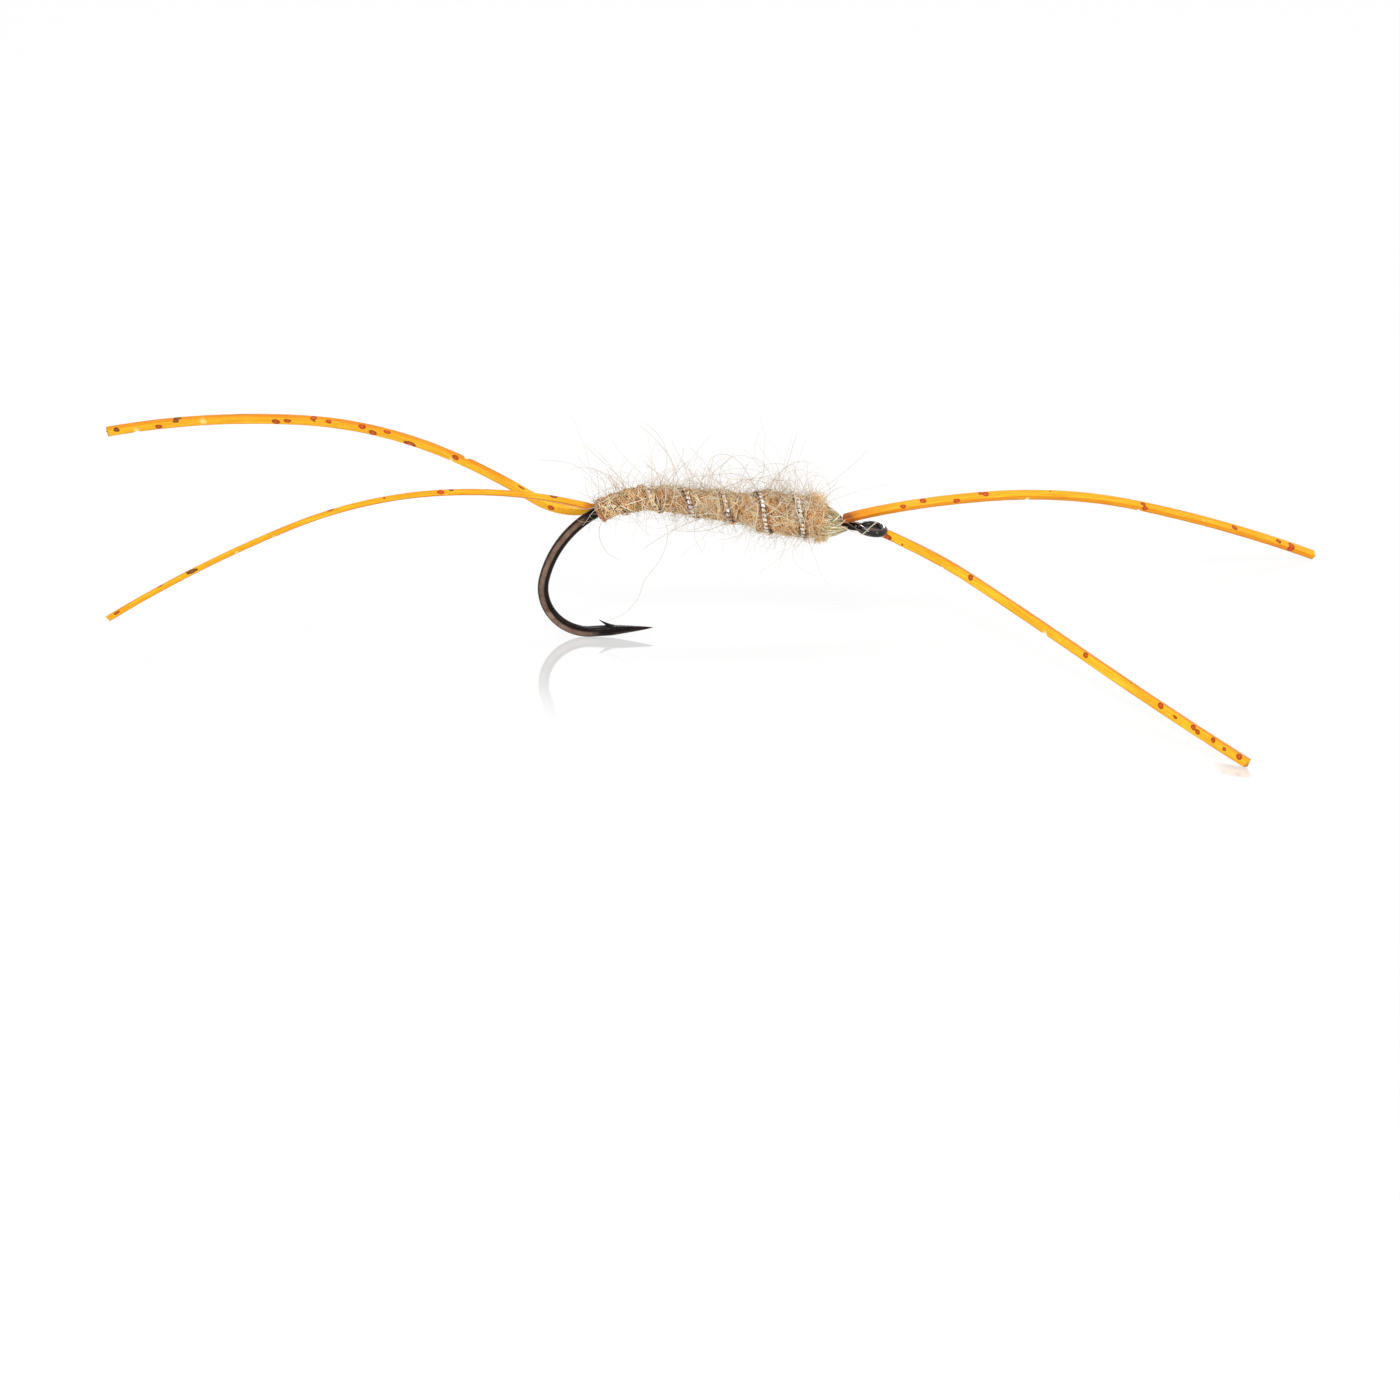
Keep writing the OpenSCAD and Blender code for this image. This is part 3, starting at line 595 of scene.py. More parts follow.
def barb_rings():
    """A sliver raised from the inner side of the point leg, curved up to a sharp tip."""
    s0 = HOOK_LEN - BARB_FROM_TIP
    h, c, r = heading(np.array(s0)), centre(s0), float(wire_radius(np.array(s0)))
    n, m = 14, 10
    u = np.linspace(0, 1, n)
    along = 0.3 - (BARB_LEN + 0.3) * u
    high = r * 0.6 + (r * 0.4 + BARB_H) * u ** 1.35
    wide = BARB_W / 2 * (1 - u ** 1.6) + 0.012
    thick = 0.13 * (1 - u) ** 0.8 + 0.012
    a = circle(m)
    t, up = ahead(h), left(h)
    spine = c + along[:, None] * t + high[:, None] * up
    rise = thick[:, None] * np.cos(a)
    x, z = spine[:, None, 0] + rise * up[0], spine[:, None, 1] + rise * up[1]
    return np.stack([x, wide[:, None] * np.sin(a), z], -1)


# Rubber strands

def oblong(per_side, per_corner):
    """Points round the strand's section as (a, b), how far each lies on a narrow side, and by a corner."""
    ha, hb = STRAND_A / 2 - STRAND_CORNER, STRAND_B / 2 - STRAND_CORNER
    middles = np.array([(ha, hb), (-ha, hb), (-ha, -hb), (ha, -hb)])
    share = np.linspace(0, 1, per_corner)
    w = np.arange(1, per_side + 1)[:, None] / (per_side + 1)
    out, narrow, rim = [], [], []
    for k, middle in enumerate(middles):
        arc = middle + STRAND_CORNER * ahead(90 * (k + share))
        end = middles[(k + 1) % 4] + arc[-1] - middle
        out += [arc, (1 - w) * arc[-1] + w * end]
        narrow += [np.abs(k % 2 - share), np.full(per_side, 1.0 - k % 2)]
        # The third value marks the corners and the sides next to them, where painted shade darkens the edges
        rim += [0.2 + 0.8 * np.sin(math.pi * share), 0.3 * (np.abs(2 * w[:, 0] - 1) > 0.5)]
    return np.concatenate(out), np.concatenate(narrow), np.concatenate(rim)


def strand(stem, node, root, length, yaw, pitch, roll, axis, flecks, nicks, flip=0.0, ragged=0.0,
           shade_and_stain_to=-0.4, deep=0.4, tone=(0.0, 1.0), bare=0.0, cut=134):
    """A cut strand of rubber along the part's own curve. yaw and pitch are shares of the length with the
    angles there. flecks are (share of the length, place across from -1 to 1 as seen from the front, radius,
    stretch along the strand, darkness), and nicks are (share, place across, size). The root is dark as far
    as shade_and_stain_to, from stain at the tie-in and, on the near leg, from painted shade behind the eye,
    and deeper in colour as far as deep. tone is how deep the colour is all over, and by how much more on
    the narrow faces, or on the broad ones where flip is 1, past the share bare of the length; before it
    the faces stay bright, as painted light where the root lies in shade. ragged frays the tip. Two edges,
    at the angle cut round the section, are darkened by painted shade along the outline."""
    name = stem + "_rubber"
    # Steps along the strand, rings of its rounded root, how far they turn, and the length of the cut tip
    k, back, root_turn, cut_tip = 420, 10, 82, 1.2
    mid = (np.arange(k) + 0.5) / k

    def way(t):
        y, p = np.radians(np.interp(t, *yaw)), np.radians(np.interp(t, *pitch))
        return np.stack([np.cos(p) * np.cos(y), np.cos(p) * np.sin(y), np.sin(p)], -1)

    line = root + np.concatenate([np.zeros((1, 3)), np.cumsum(way(mid) * length / k, 0)])
    share = np.arange(k + 1) / k
    t = way(share)
    y = np.radians(np.interp(share, *yaw))
    u = np.stack([-np.sin(y), np.cos(y), np.zeros_like(y)], -1)
    v = np.cross(t, u)
    g = math.radians(roll)
    a_dir, b_dir = math.cos(g) * u + math.sin(g) * v, math.cos(g) * v - math.sin(g) * u
    shape, narrow, rim = oblong(4, 4)
    m = len(shape)
    # Painted shade: of these, only the two edges at the angle cut round the section, which lie along the outline
    # from the front, are darkened
    reach = np.abs(shape @ ahead(cut))
    rim = rim * ease((reach / reach.max() - 0.7) / 0.2)
    # The knife's wander: the two sizes vary slowly along the strand
    wander = np.stack([share * length, np.zeros(k + 1), np.full(k + 1, len(flecks) * 3.1)], -1)
    wa = 1 + 0.035 * noise(wander, 1.7, 5) + 0.02 * noise(wander, 0.3, 6)
    wb = 1 + 0.03 * noise(wander, 2.3, 7) + 0.015 * noise(wander, 0.35, 8)
    off = (shape[None, :, 0] * wa[:, None])[..., None] * a_dir[:, None]
    off = off + (shape[None, :, 1] * wb[:, None])[..., None] * b_dir[:, None]
    rings = line[:, None] + off
    up = unit(np.cross(TO_VIEW, t))
    up = up * np.sign(up[:, 2:3] + 1e-9)
    across = np.einsum("kmi,ki->km", off, up)
    across = across / np.abs(across).max(1, keepdims=True)
    seen = np.einsum("kmi,i->km", unit(off), TO_VIEW)

    def spot(at, place, front=True):
        i = int(round(at * k))
        miss = np.abs(across[i] - place) + np.where((seen[i] > 0.02) == front, 0, 9)
        return i, int(miss.argmin())

    nick = np.zeros((k + 1, m))
    for at, place, size in nicks:
        i, j = spot(at, place)
        d = np.linalg.norm(rings - rings[i, j], axis=-1) / size
        nick = np.maximum(nick, ease(1.25 - d))
    rings = rings - off * (0.3 * nick)[..., None]
    # The cut at the tip runs a little askew
    tip = ease((share - 1 + cut_tip / length) * length / cut_tip)[:, None, None]
    rings = rings + t[:, None] * tip * (0.04 * across + ragged * noise(rings, 0.14, 9))[..., None]
    spots = [(spot(at, place), size, stretch, dark) for at, place, size, stretch, dark in flecks]
    # The photo doesn't show the far faces, so their flecks are guessed
    for _ in range(FAR_FLECKS):
        at, place = rng.uniform(0.06, 0.97), rng.uniform(-0.6, 0.6)
        spots.append((spot(at, place, False), rng.uniform(0.12, 0.18), 1.2, 0.2))
    fleck, brown = np.full((k + 1, m), 3.0), np.zeros((k + 1, m))
    for (i, j), size, stretch, dark in spots:
        gap = rings - rings[i, j]
        run = np.einsum("kmi,i->km", gap, t[i])
        d = np.sqrt(np.maximum((gap ** 2).sum(-1) - run ** 2, 0) + (run / stretch) ** 2) / size
        brown = np.where(d < np.minimum(fleck, 1.6), dark, brown)
        fleck = np.minimum(fleck, d)
    # The root is rounded about its hinge
    turn = np.radians(root_turn * np.arange(back, 0, -1) / back)
    o = rings[0] - root
    h = (o @ axis)[:, None] * axis
    tail = np.stack([root + h + math.cos(b) * (o - h) - STRAND_HD * math.sin(b) * t[0] for b in turn])
    rings = np.concatenate([tail, rings])

    def with_root(x):
        return np.concatenate([np.repeat(x[:1], back, 0), x]).ravel()

    def spread(x):
        return np.broadcast_to(x, (len(rings), m)).ravel()

    along = np.concatenate([-STRAND_HD * np.sin(turn), share * length])[:, None]
    # Dark root: stain at the tie-in, and on the near leg painted shade where it lies behind the eye
    shade_and_stain = 1 - ease((along - shade_and_stain_to) / 0.9)
    # Painted light: the deeper faces start only past the share bare, so that a root in shade stays bright
    shown = ease((along / length - bare) / 0.06) if bare else 1.0
    lay = np.stack(np.broadcast_arrays(along, run_along(shape)[None], len(name) * 7.7), -1)
    add_piece(name, *loft(rings), RUBBER, stem + "_strand", "amber_rubber", [node], {
        "narrow": spread(tone[0] + tone[1] * np.abs(flip - narrow) * shown),
        "rim": spread(rim),
        "root": spread(np.maximum(0.9 * shade_and_stain, 0.7 * (1 - ease(along / deep)))),
        "shade_and_stain": spread(shade_and_stain),
        "nick": with_root(nick),
        "fleck": with_root(fleck),
        "brown": with_root(brown),
        "lay": lay.reshape(-1, 3),
    })


def make_strands():
    out = STRAND_HD + SEAT_GAP - SEAT_DEPTH
    tail_s, leg_s = BIND_B + out, HEAD_A - out
    slope_at = (0, 0.12, 0.3, 0.6, 1)
    leg_wire = float(wire_radius(np.array(leg_s)))
    up = np.array([0, 0, 1.0])

    def across(yaw):
        return np.array([math.sin(math.radians(yaw)), -math.cos(math.radians(yaw)), 0])

    length, clock, gap, yaw = NEAR_TAIL
    root = round_wire(tail_s, WIRE_R + gap + STRAND_HD, clock)
    strand("near_tail", "near_tail", root, length, ((0,), (yaw,)), (slope_at, (19, 12, 2, -18, -28)), -68,
           across(yaw),
           ((0.978, 0.1, 0.09, 2.2, 0.5), (0.812, 0.0, 0.11, 3.6, 1.0), (0.82, 0.5, 0.07, 3.0, 0.8),
            (0.413, 0.3, 0.07, 1.2, 0.3), (0.3, 0.2, 0.12, 2.2, 0.0), (0.279, 0.8, 0.08, 2.0, 0.8),
            (0.072, 0.7, 0.1, 2.4, 0.7), (0.88, 0.5, 0.05, 4.0, 0.2), (0.52, 0.6, 0.05, 5.0, 0.3)),
           ((0.72, -0.9, 0.12), (0.64, -0.9, 0.09)), flip=1.0, tone=(0.5, 0.35), cut=182)
    length, clock, gap, yaw = FAR_TAIL
    root = round_wire(tail_s, WIRE_R + gap + STRAND_HD, clock)
    # Its narrow faces stay bright for the first 14% of its length: painted light where the root lies in shade
    # under the near tail and the body
    strand("far_tail", "far_tail", root, length, ((0,), (yaw,)), (slope_at, (-18, 28, 19, -2, -15)), -22,
           across(yaw),
           ((0.978, -0.1, 0.17, 1.2, 0.9), (0.892, -0.4, 0.17, 1.4, 0.2), (0.852, 0.7, 0.14, 1.9, 1.0),
            (0.855, 0.1, 0.12, 2.0, 0.8), (0.652, -0.55, 0.19, 1.5, 0.3), (0.628, -0.4, 0.16, 1.6, 0.1),
            (0.576, 0.6, 0.19, 1.2, 0.2), (0.573, 0.0, 0.08, 1.0, 0.3), (0.546, 0.1, 0.15, 1.3, 0.0),
            (0.479, 0.2, 0.22, 1.1, 0.1), (0.457, -0.6, 0.19, 1.5, 0.2), (0.429, 0.3, 0.14, 1.8, 0.1),
            (0.382, -0.7, 0.21, 1.9, 0.4), (0.289, 0.0, 0.18, 1.3, 0.2), (0.08, -0.3, 0.19, 1.2, 0.1),
            (0.15, 0.6, 0.07, 4.0, 0.7)),
           ((0.94, -0.9, 0.19), (0.8, -0.2, 0.24), (0.27, 0.95, 0.16), (0.295, -0.95, 0.14)),
           ragged=0.16, bare=0.14, tone=(0.2, 0.8))
    # The near leg starts on the far side of the eye and passes beside it before it turns to the front
    length, clock, gap, yaw = NEAR_LEG
    root = round_wire(leg_s, leg_wire + gap + STRAND_HD, clock)
    beside = EYE_R + EYE_WIRE_R + STRAND_HD - root[1]
    aim = math.degrees(math.atan2(beside + EYE_CLEAR, -root[0]))
    past = math.hypot(root[0], beside) / length
    # Its root is dark for about 2 mm: stain at the tie-in, and painted shade where it lies behind the eye
    strand("near_leg", "near_front_leg", root, length, ((0, past, 0.15, 1), (aim, aim, yaw, yaw)),
           ((0, 0.05, 0.1, 0.15, 0.3, 0.6, 1), (-17.8, -19.2, -23.9, -3.9, -10.3, -11.6, -9.2)), -12, up,
           ((0.086, -0.5, 0.2, 1.2, 0.2), (0.116, -0.6, 0.08, 1.2, 0.1), (0.29, 0.1, 0.2, 1.1, 0.3),
            (0.592, 0.1, 0.18, 1.2, 0.2), (0.708, 0.6, 0.07, 1.0, 0.3), (0.786, 0.2, 0.19, 1.3, 0.1),
            (0.823, 0.0, 0.11, 1.8, 0.1), (0.868, 0.15, 0.17, 1.2, 0.1), (0.88, -0.25, 0.15, 1.3, 0.1),
            (0.92, 0.1, 0.17, 1.2, 0.2), (0.948, -0.2, 0.13, 1.3, 0.1), (0.983, 0.2, 0.2, 1.2, 0.1)),
           ((0.49, -0.95, 0.2), (0.22, -0.95, 0.09)), shade_and_stain_to=1.9, deep=2.2, cut=63)
    length, clock, gap, yaw = FAR_LEG
    root = round_wire(leg_s, leg_wire + gap + STRAND_HD, clock)
    strand("far_leg", "far_front_leg", root, length, ((0,), (yaw,)),
           ((0, 0.05, 0.12, 0.3, 0.6, 1), (5.5, 2.4, -0.4, -5.5, -19.3, -26)), -60, up,
           ((0.107, 0.0, 0.16, 1.4, 0.1), (0.149, 0.4, 0.18, 1.3, 0.1), (0.214, -0.3, 0.18, 1.4, 0.1),
            (0.266, 0.6, 0.13, 1.2, 0.2), (0.276, 0.35, 0.18, 1.3, 0.1), (0.608, 0.45, 0.16, 1.3, 0.1),
            (0.61, -0.3, 0.17, 1.3, 0.1), (0.813, 0.3, 0.19, 1.2, 0.2), (0.914, 0.4, 0.18, 1.2, 0.2),
            (0.945, 0.3, 0.22, 1.2, 0.0), (0.942, -0.4, 0.2, 1.2, 0.1), (0.41, 0.8, 0.06, 1.4, 0.3)),
           ((0.363, -0.9, 0.14), (0.6, -0.9, 0.1), (0.74, 0.2, 0.1)), shade_and_stain_to=0.0, deep=3.6, tone=(0.35, 0.5))


# Body

def fur_core(name, node, a, b):
    """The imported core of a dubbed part, with matted lumps, under its loose fibres."""
    m = 120
    s = np.linspace(a, b, int((b - a) / 0.05))
    clock = np.arange(m) * 360 / m
    grid_s, grid_c = np.meshgrid(s, clock, indexing="ij")
    r = fur_radius(grid_s, grid_c) - 0.05
    p = round_fur(grid_s, r, grid_c)
    lump = 0.06 * noise(p, 0.5, 11) + 0.035 * noise(p, 0.2, 12) + 0.02 * noise(p, 0.09, 13)
    free = 1 - 0.7 * by_rib(grid_s, grid_c, 0.2)
    r = np.maximum(r + lump * free, wire_radius(grid_s) + 2 * GAP)
    # Painted shade: the dips between lumps, the furrow by the rib, and the bore inside
    painted_hollow_shade = np.maximum(np.clip(0.45 - lump * 6, 0, 1), by_rib(grid_s, grid_c, 0.22))
    back = np.linspace(b, a, 16)
    bore = round_wire(back[:, None], wire_radius(back)[:, None] + GAP, clock[None])
    rings = np.concatenate([round_fur(grid_s, r, grid_c), bore])
    painted_hollow_shade = np.concatenate([painted_hollow_shade, np.ones((len(back), m))])
    # The bore closes the ring of rings on itself, so the sleeve stays open along the wire
    add_piece(name, *loft(rings, closed=True), FELT, HOOK_BODY, "tan_dubbing", [node], {"painted_hollow_shade": painted_hollow_shade.ravel()})


def along_body(count, a, b):
    """Places along the hook, drawn in step with the body's girth."""
    at = np.linspace(a, b, 200)
    weight = np.cumsum(skin_radius(at, 0))
    return np.interp(rng.random(count) * weight[-1], weight, at)


def lying_fibres(name, material, count, a, b, length, radius, lift, steps=8, wound=0.6, cover=0.0, clump=0.0):
    """Fibres that lie along the fur: the share wound follows the winding, the rest cross it, and the share
    cover lies over the rib, less in front and more behind. length, radius and lift are ranges."""
    s0 = along_body(count, a, b)
    c0 = rng.uniform(0, 360, count)
    run = rng.uniform(*length, count)
    lay = np.where(rng.random(count) < wound, rng.normal(65, 24, count), rng.uniform(0, 180, count))
    bend = rng.normal(0, 60, count)
    u = np.linspace(-0.5, 0.5, steps)[None]
    way = np.radians(lay[:, None] + bend[:, None] * u)
    ds = np.cumsum(np.cos(way), 1) / steps * run[:, None]
    dc = np.cumsum(np.sin(way), 1) / steps * run[:, None]
    s = np.clip(s0[:, None] + ds - ds[:, [steps // 2]], a - 0.2, b + 0.2)
    c = c0[:, None] + np.degrees((dc - dc[:, [steps // 2]]) / skin_radius(s0, c0)[:, None])
    base = skin_radius(s, c)
    p = round_fur(s, base, c)
    high = rng.uniform(*lift, count)[:, None] * (1 - (2 * u) ** 2) + 0.05 * noise(p, 0.5, 11) - 0.035
    over = by_rib(np.clip(s, THORAX_A, ABDOMEN_B), c, 0.2)
    covers = rng.random(count) < cover * (0.5 + 1.4 * ease((s0 - 9) / 2.5))
    parted = high * (1 - 0.9 * over) - 0.1 * over
    high = np.where(covers[:, None], np.maximum(high, rib_crest(s, c, base)), parted)
    p = round_fur(s, base + high, c)
    r = rng.uniform(*radius, count)[:, None] * np.clip(1.25 - np.abs(2 * u) ** 3, 0.3, 1)
    add_hairs(name, p, r, material, clump=clump)


def tilted(out, along, mean, spread, side):
    """Ways out of the fur, tilted along it by a mean and a spread, and to the side."""
    each = (len(out), 1)
    return out + rng.normal(mean, spread, each) * along + rng.normal(0, side, each) * np.cross(out, along)


def loose_hairs(root, out, length, radius, curl, steps):
    """Hairs that stand off the fur in their own arcs, as paths and radii."""
    count = len(root)
    d = unit(out)
    axis = unit(np.cross(d, rng.normal(size=(count, 3))))
    wave = unit(np.cross(d, axis) + 0.4 * rng.normal(size=(count, 3)))
    bend = rng.normal(0, curl, count)
    sway = rng.normal(0, curl * 0.5, count)
    phase = rng.uniform(0, 2 * math.pi, count)
    path = [root]
    seg = (length / (steps - 1))[:, None]
    turn = (bend / (steps - 1))[:, None]
    for k in range(steps - 1):
        path.append(path[-1] + d * seg)
        swing = (sway * np.sin(phase + 3.2 * k / steps) / (steps - 1) * 2)[:, None]
        d = unit(d + np.cross(axis, d) * turn + np.cross(wave, d) * swing)
    return np.stack(path, 1), radius[:, None] * np.linspace(1, 0.45, steps)[None]


def add_fuzz(name, count, a, b, tilt, side, growth, least, radius, curl, steps, clock=None, most=9.0, flat=1):
    """Loose hairs on the body from a to b, all round or about a clock angle with its spread. Their length
    is drawn by growth between least and most, and less toward the tail and on the flanks, where they lie."""
    s = along_body(count, a, b)
    c = rng.normal(*clock, count) if clock else rng.uniform(0, 360, count)
    r = skin_radius(s, c) - 0.06
    p = round_fur(s, r, c)
    way = tilted(unit(round_fur(s, r + 1, c) - p), unit(round_fur(s + 0.01, r, c) - p), *tilt, side)
    scale = (1 - 0.45 * ease((s - 9.5) / 4)) * (1 - 0.65 * ease((np.abs(np.sin(np.radians(c))) - 0.5) / 0.35))
    length = scale ** flat * np.minimum(rng.gamma(*growth, count) + least, most)
    add_hairs(name, *loose_hairs(p, way, length, rng.uniform(*radius, count), curl, steps), FUZZ)


def guard_hairs(a, b, steps=18):
    """The long guard hairs of the part's own fur between two places along the hook."""
    paths = []
    t = np.linspace(0, 1, steps)[:, None]
    for k in range(math.floor((a - RIB_CROSS) / RIB_PITCH) - 1, math.ceil((b - RIB_CROSS) / RIB_PITCH) + 1):
        for i in range(k * GUARD_N, (k + 1) * GUARD_N):
            share = [i * f - math.floor(i * f) for f in HAIR_SCATTER]
            clock = 180 + GUARD_SPREAD * (2 * share[0] - 1)
            s = RIB_CROSS + RIB_PITCH * ((clock - 90) / 360 + k + 0.5 + HAIR_STRAY * (2 * share[1] - 1))
            if not a + HAIR_END < s < b - HAIR_END:
                continue
            out = round_wire(s, 1, clock) - round_wire(s, 0, clock)
            x, z = ahead(heading(s))
            back = np.array([x, 0, z])
            lean = HAIR_LEAN * (2 * share[3] - 1) * back + HAIR_LAY * (2 * share[4] - 1) * np.cross(back, out)
            foot = round_fur(s, dub_radius(np.array(s)) - HAIR_ROOT, clock)
            length = GUARD_LEN * (HAIR_SHORT + (1 - HAIR_SHORT) * share[2])
            paths.append(foot + length * ((t - HAIR_BOW * t * t) * out + t * t * lean))
    return paths


def make_fuzz():
    """Guard hairs, a short halo all round, long arcs, most of them above, and shorter loops below."""
    paths = np.stack(guard_hairs(THORAX_A, THORAX_B) + guard_hairs(ABDOMEN_A, ABDOMEN_B))
    add_hairs("guard_hairs", paths, np.linspace(0.018, 0.008, paths.shape[1])[None], FUZZ)
    for name, count, a, b in (("abdomen_halo", 1350, ABDOMEN_A, BIND_B - 0.1),
                              ("thorax_halo", 1050, THORAX_A, THORAX_B)):
        add_fuzz(name, count, a, b, tilt=(0.2, 1.2), side=1.0, growth=(2.4, 0.25), least=0.2,
                 radius=(0.007, 0.013), curl=2.2, steps=8)
    add_fuzz("long_hairs", 470, THORAX_A + 0.2, BIND_B - 0.1, tilt=(0.5, 1.6), side=0.7, growth=(3.0, 0.85),
             least=0.7, radius=(0.009, 0.016), curl=2.5, steps=18, clock=(160, 60), most=4.8, flat=0.5)
    add_fuzz("under_hairs", 230, THORAX_A + 0.2, ABDOMEN_B, tilt=(0, 1.5), side=0.7, growth=(2.6, 0.45),
             least=0.4, radius=(0.006, 0.011), curl=3.0, steps=16, clock=(20, 45), most=3.0)


def guided(points, steps=30):
    """A smooth path through given points."""
    q = np.array(points, float)
    q = np.concatenate([[2 * q[0] - q[1]], q, [2 * q[-1] - q[-2]]])
    at = np.linspace(1, len(q) - 2 - 1e-6, steps)
    i = at.astype(int)
    f = (at - i)[:, None]
    a, b, c, d = q[i - 1], q[i], q[i + 1], q[i + 2]
    return 0.5 * (2 * b + (c - a) * f + (2 * a - 5 * b + 4 * c - d) * f ** 2 + (3 * b - a - 3 * c + d) * f ** 3)


# The single hairs that stand out, by points that they pass: over the eye
EYE_STRAWS = (
    ((-1.88, -0.35, 0.42), (-1.6, -0.36, 0.25), (-1.22, -0.4, 0.07), (-0.84, -0.7, 0.01), (-0.6, -0.98, 0.02),
     (-0.41, -1.02, 0.17), (-0.19, -1.02, 0.4), (0.03, -1.0, 0.6), (0.25, -0.95, 0.78)),
    ((-2.93, -0.85, 0.15), (-2.49, -0.76, 0.44), (-2.1, -0.66, 0.73), (-1.78, -0.6, 1.03), (-1.61, -0.55, 1.23)),
    ((-2.1, -0.55, 0.36), (-1.85, -0.75, 0.5), (-1.62, -0.85, 0.7), (-1.5, -0.9, 0.86)),
    ((-2.98, -0.85, 0.05), (-2.44, -0.75, 0.27), (-1.8, -0.5, 0.42)),
)
# Round the tail's root, away from it, and from the body down to the bend
STRAYS = (
    ((-14.95, -0.5, 1.0), (-15.22, -0.55, 1.08), (-15.5, -0.5, 1.0), (-15.42, -0.45, 0.8), (-15.12, -0.3, 0.58),
     (-14.74, 0.0, 0.5)),
    ((-14.73, -0.4, 0.79), (-15.23, -0.5, 0.71), (-15.83, -0.45, 0.57), (-16.22, -0.3, 0.66), (-16.5, 0.1, 0.96),
     (-16.39, 0.3, 1.41)),
    ((-15.1, 0.0, 1.6), (-15.39, 0.0, 2.28), (-15.44, 0.0, 3.15), (-15.71, 0.0, 4.49), (-16.14, 0.0, 5.77),
     (-16.5, 0.0, 6.6)),
    ((-14.9, -0.3, 1.9), (-15.05, -0.3, 2.39), (-15.6, -0.3, 3.32), (-16.47, -0.2, 3.86), (-17.35, 0.0, 3.97),
     (-18.23, 0.1, 3.99)),
    ((-11.55, -0.6, 1.21), (-11.22, -0.6, -0.13), (-11.66, -0.5, -1.63), (-12.49, -0.4, -2.84),
     (-12.88, -0.3, -3.94), (-13.6, -0.2, -4.86), (-14.65, -0.1, -5.43)),
)
# And over the near side of the body, by place along the hook and clock angle
LAID_STRANDS = (
    ((12.69, 91), (12.06, 99), (11.49, 112)), ((11.7, 190), (11.31, 111), (10.86, 63)),
    ((10.73, 198), (10.27, 171), (9.67, 127)), ((9.25, 147), (8.79, 121), (8.37, 105)),
    ((8.69, 129), (8.16, 149), (7.52, 190)), ((9.33, 63), (8.87, 84), (8.19, 96)),
    ((8.34, 70), (7.75, 75), (7.08, 69)), ((7.36, 190), (7.11, 152), (6.75, 127)),
    ((13.03, 94), (12.59, 64), (12.34, 37)), ((6.12, 104), (5.81, 120), (5.43, 139)),
    ((5.19, 135), (4.52, 118), (3.82, 102)), ((4.98, 100), (4.42, 125), (4.27, 142)),
    ((3.35, 187), (3.0, 158), (2.69, 148)), ((2.65, 190), (2.69, 148), (2.9, 111)),
    ((3.43, 51), (2.77, 32), (1.95, 29)),
)


def make_strays():
    """The single hairs of the three lists above."""
    def drawn(name, path, radius, taper, material):
        add_hairs(name, path, radius * np.linspace(1, taper, path.shape[1])[None], material)

    drawn("eye_straws", np.stack([guided(p) for p in EYE_STRAWS]), 0.024, 1, CREAM)
    s, c = np.moveaxis(np.stack([guided(p, 16) for p in LAID_STRANDS]), -1, 0)
    base = skin_radius(s, c)
    drawn("laid_strands", round_fur(s, base + np.maximum(0.09, rib_crest(s, c, base)), c), 0.034, 0.6, CREAM)
    drawn("stray_hairs", np.stack([guided(p) for p in STRAYS]), 0.009, 1, FUZZ)


def make_rib():
    """Oval tinsel: a flat tape wound on a core, laid in the furrow."""
    m, tape, step = 14, 0.25, 0.018
    s = np.linspace(THORAX_A + GAP, ABDOMEN_B - GAP, 6000)
    run = run_along(round_fur(s, rib_radius(s), rib_clock(s)))
    at = np.linspace(0, run[-1], int(run[-1] / step))
    s = np.interp(at, run, s)
    line = round_fur(s, rib_radius(s), rib_clock(s))
    u, v = sides(line, round_wire(s, 1, rib_clock(s)) - round_wire(s, 0, 0))
    a = circle(m)
    phase = 2 * math.pi * at[:, None] / tape + a[None]
    crown = np.abs(np.cos(phase / 2)) ** 0.55
    r = RIB_D / 2 * (0.74 + 0.26 * crown)
    # The creases between the turns and the flanks carry painted shade, the flanks also the brown thread
    flank_thread_and_shade = np.broadcast_to(np.abs(np.sin(a)), crown.shape)
    bead = np.sin(12.9898 * np.round(phase / (2 * math.pi))) * 43758.5453
    rings = line[:, None] + (0.92 * r * np.cos(a))[..., None] * u[:, None]
    rings = rings + (r * np.sin(a))[..., None] * v[:, None]
    add_piece("rib_winding", *loft(rings), TINSEL, HOOK_BODY, "silver_tinsel", ["rib_tinsel"],
              {"groove_shade": (1 - crown).ravel(), "flank_thread_and_shade": flank_thread_and_shade.ravel(), "bead": (bead - np.floor(bead)).ravel()})


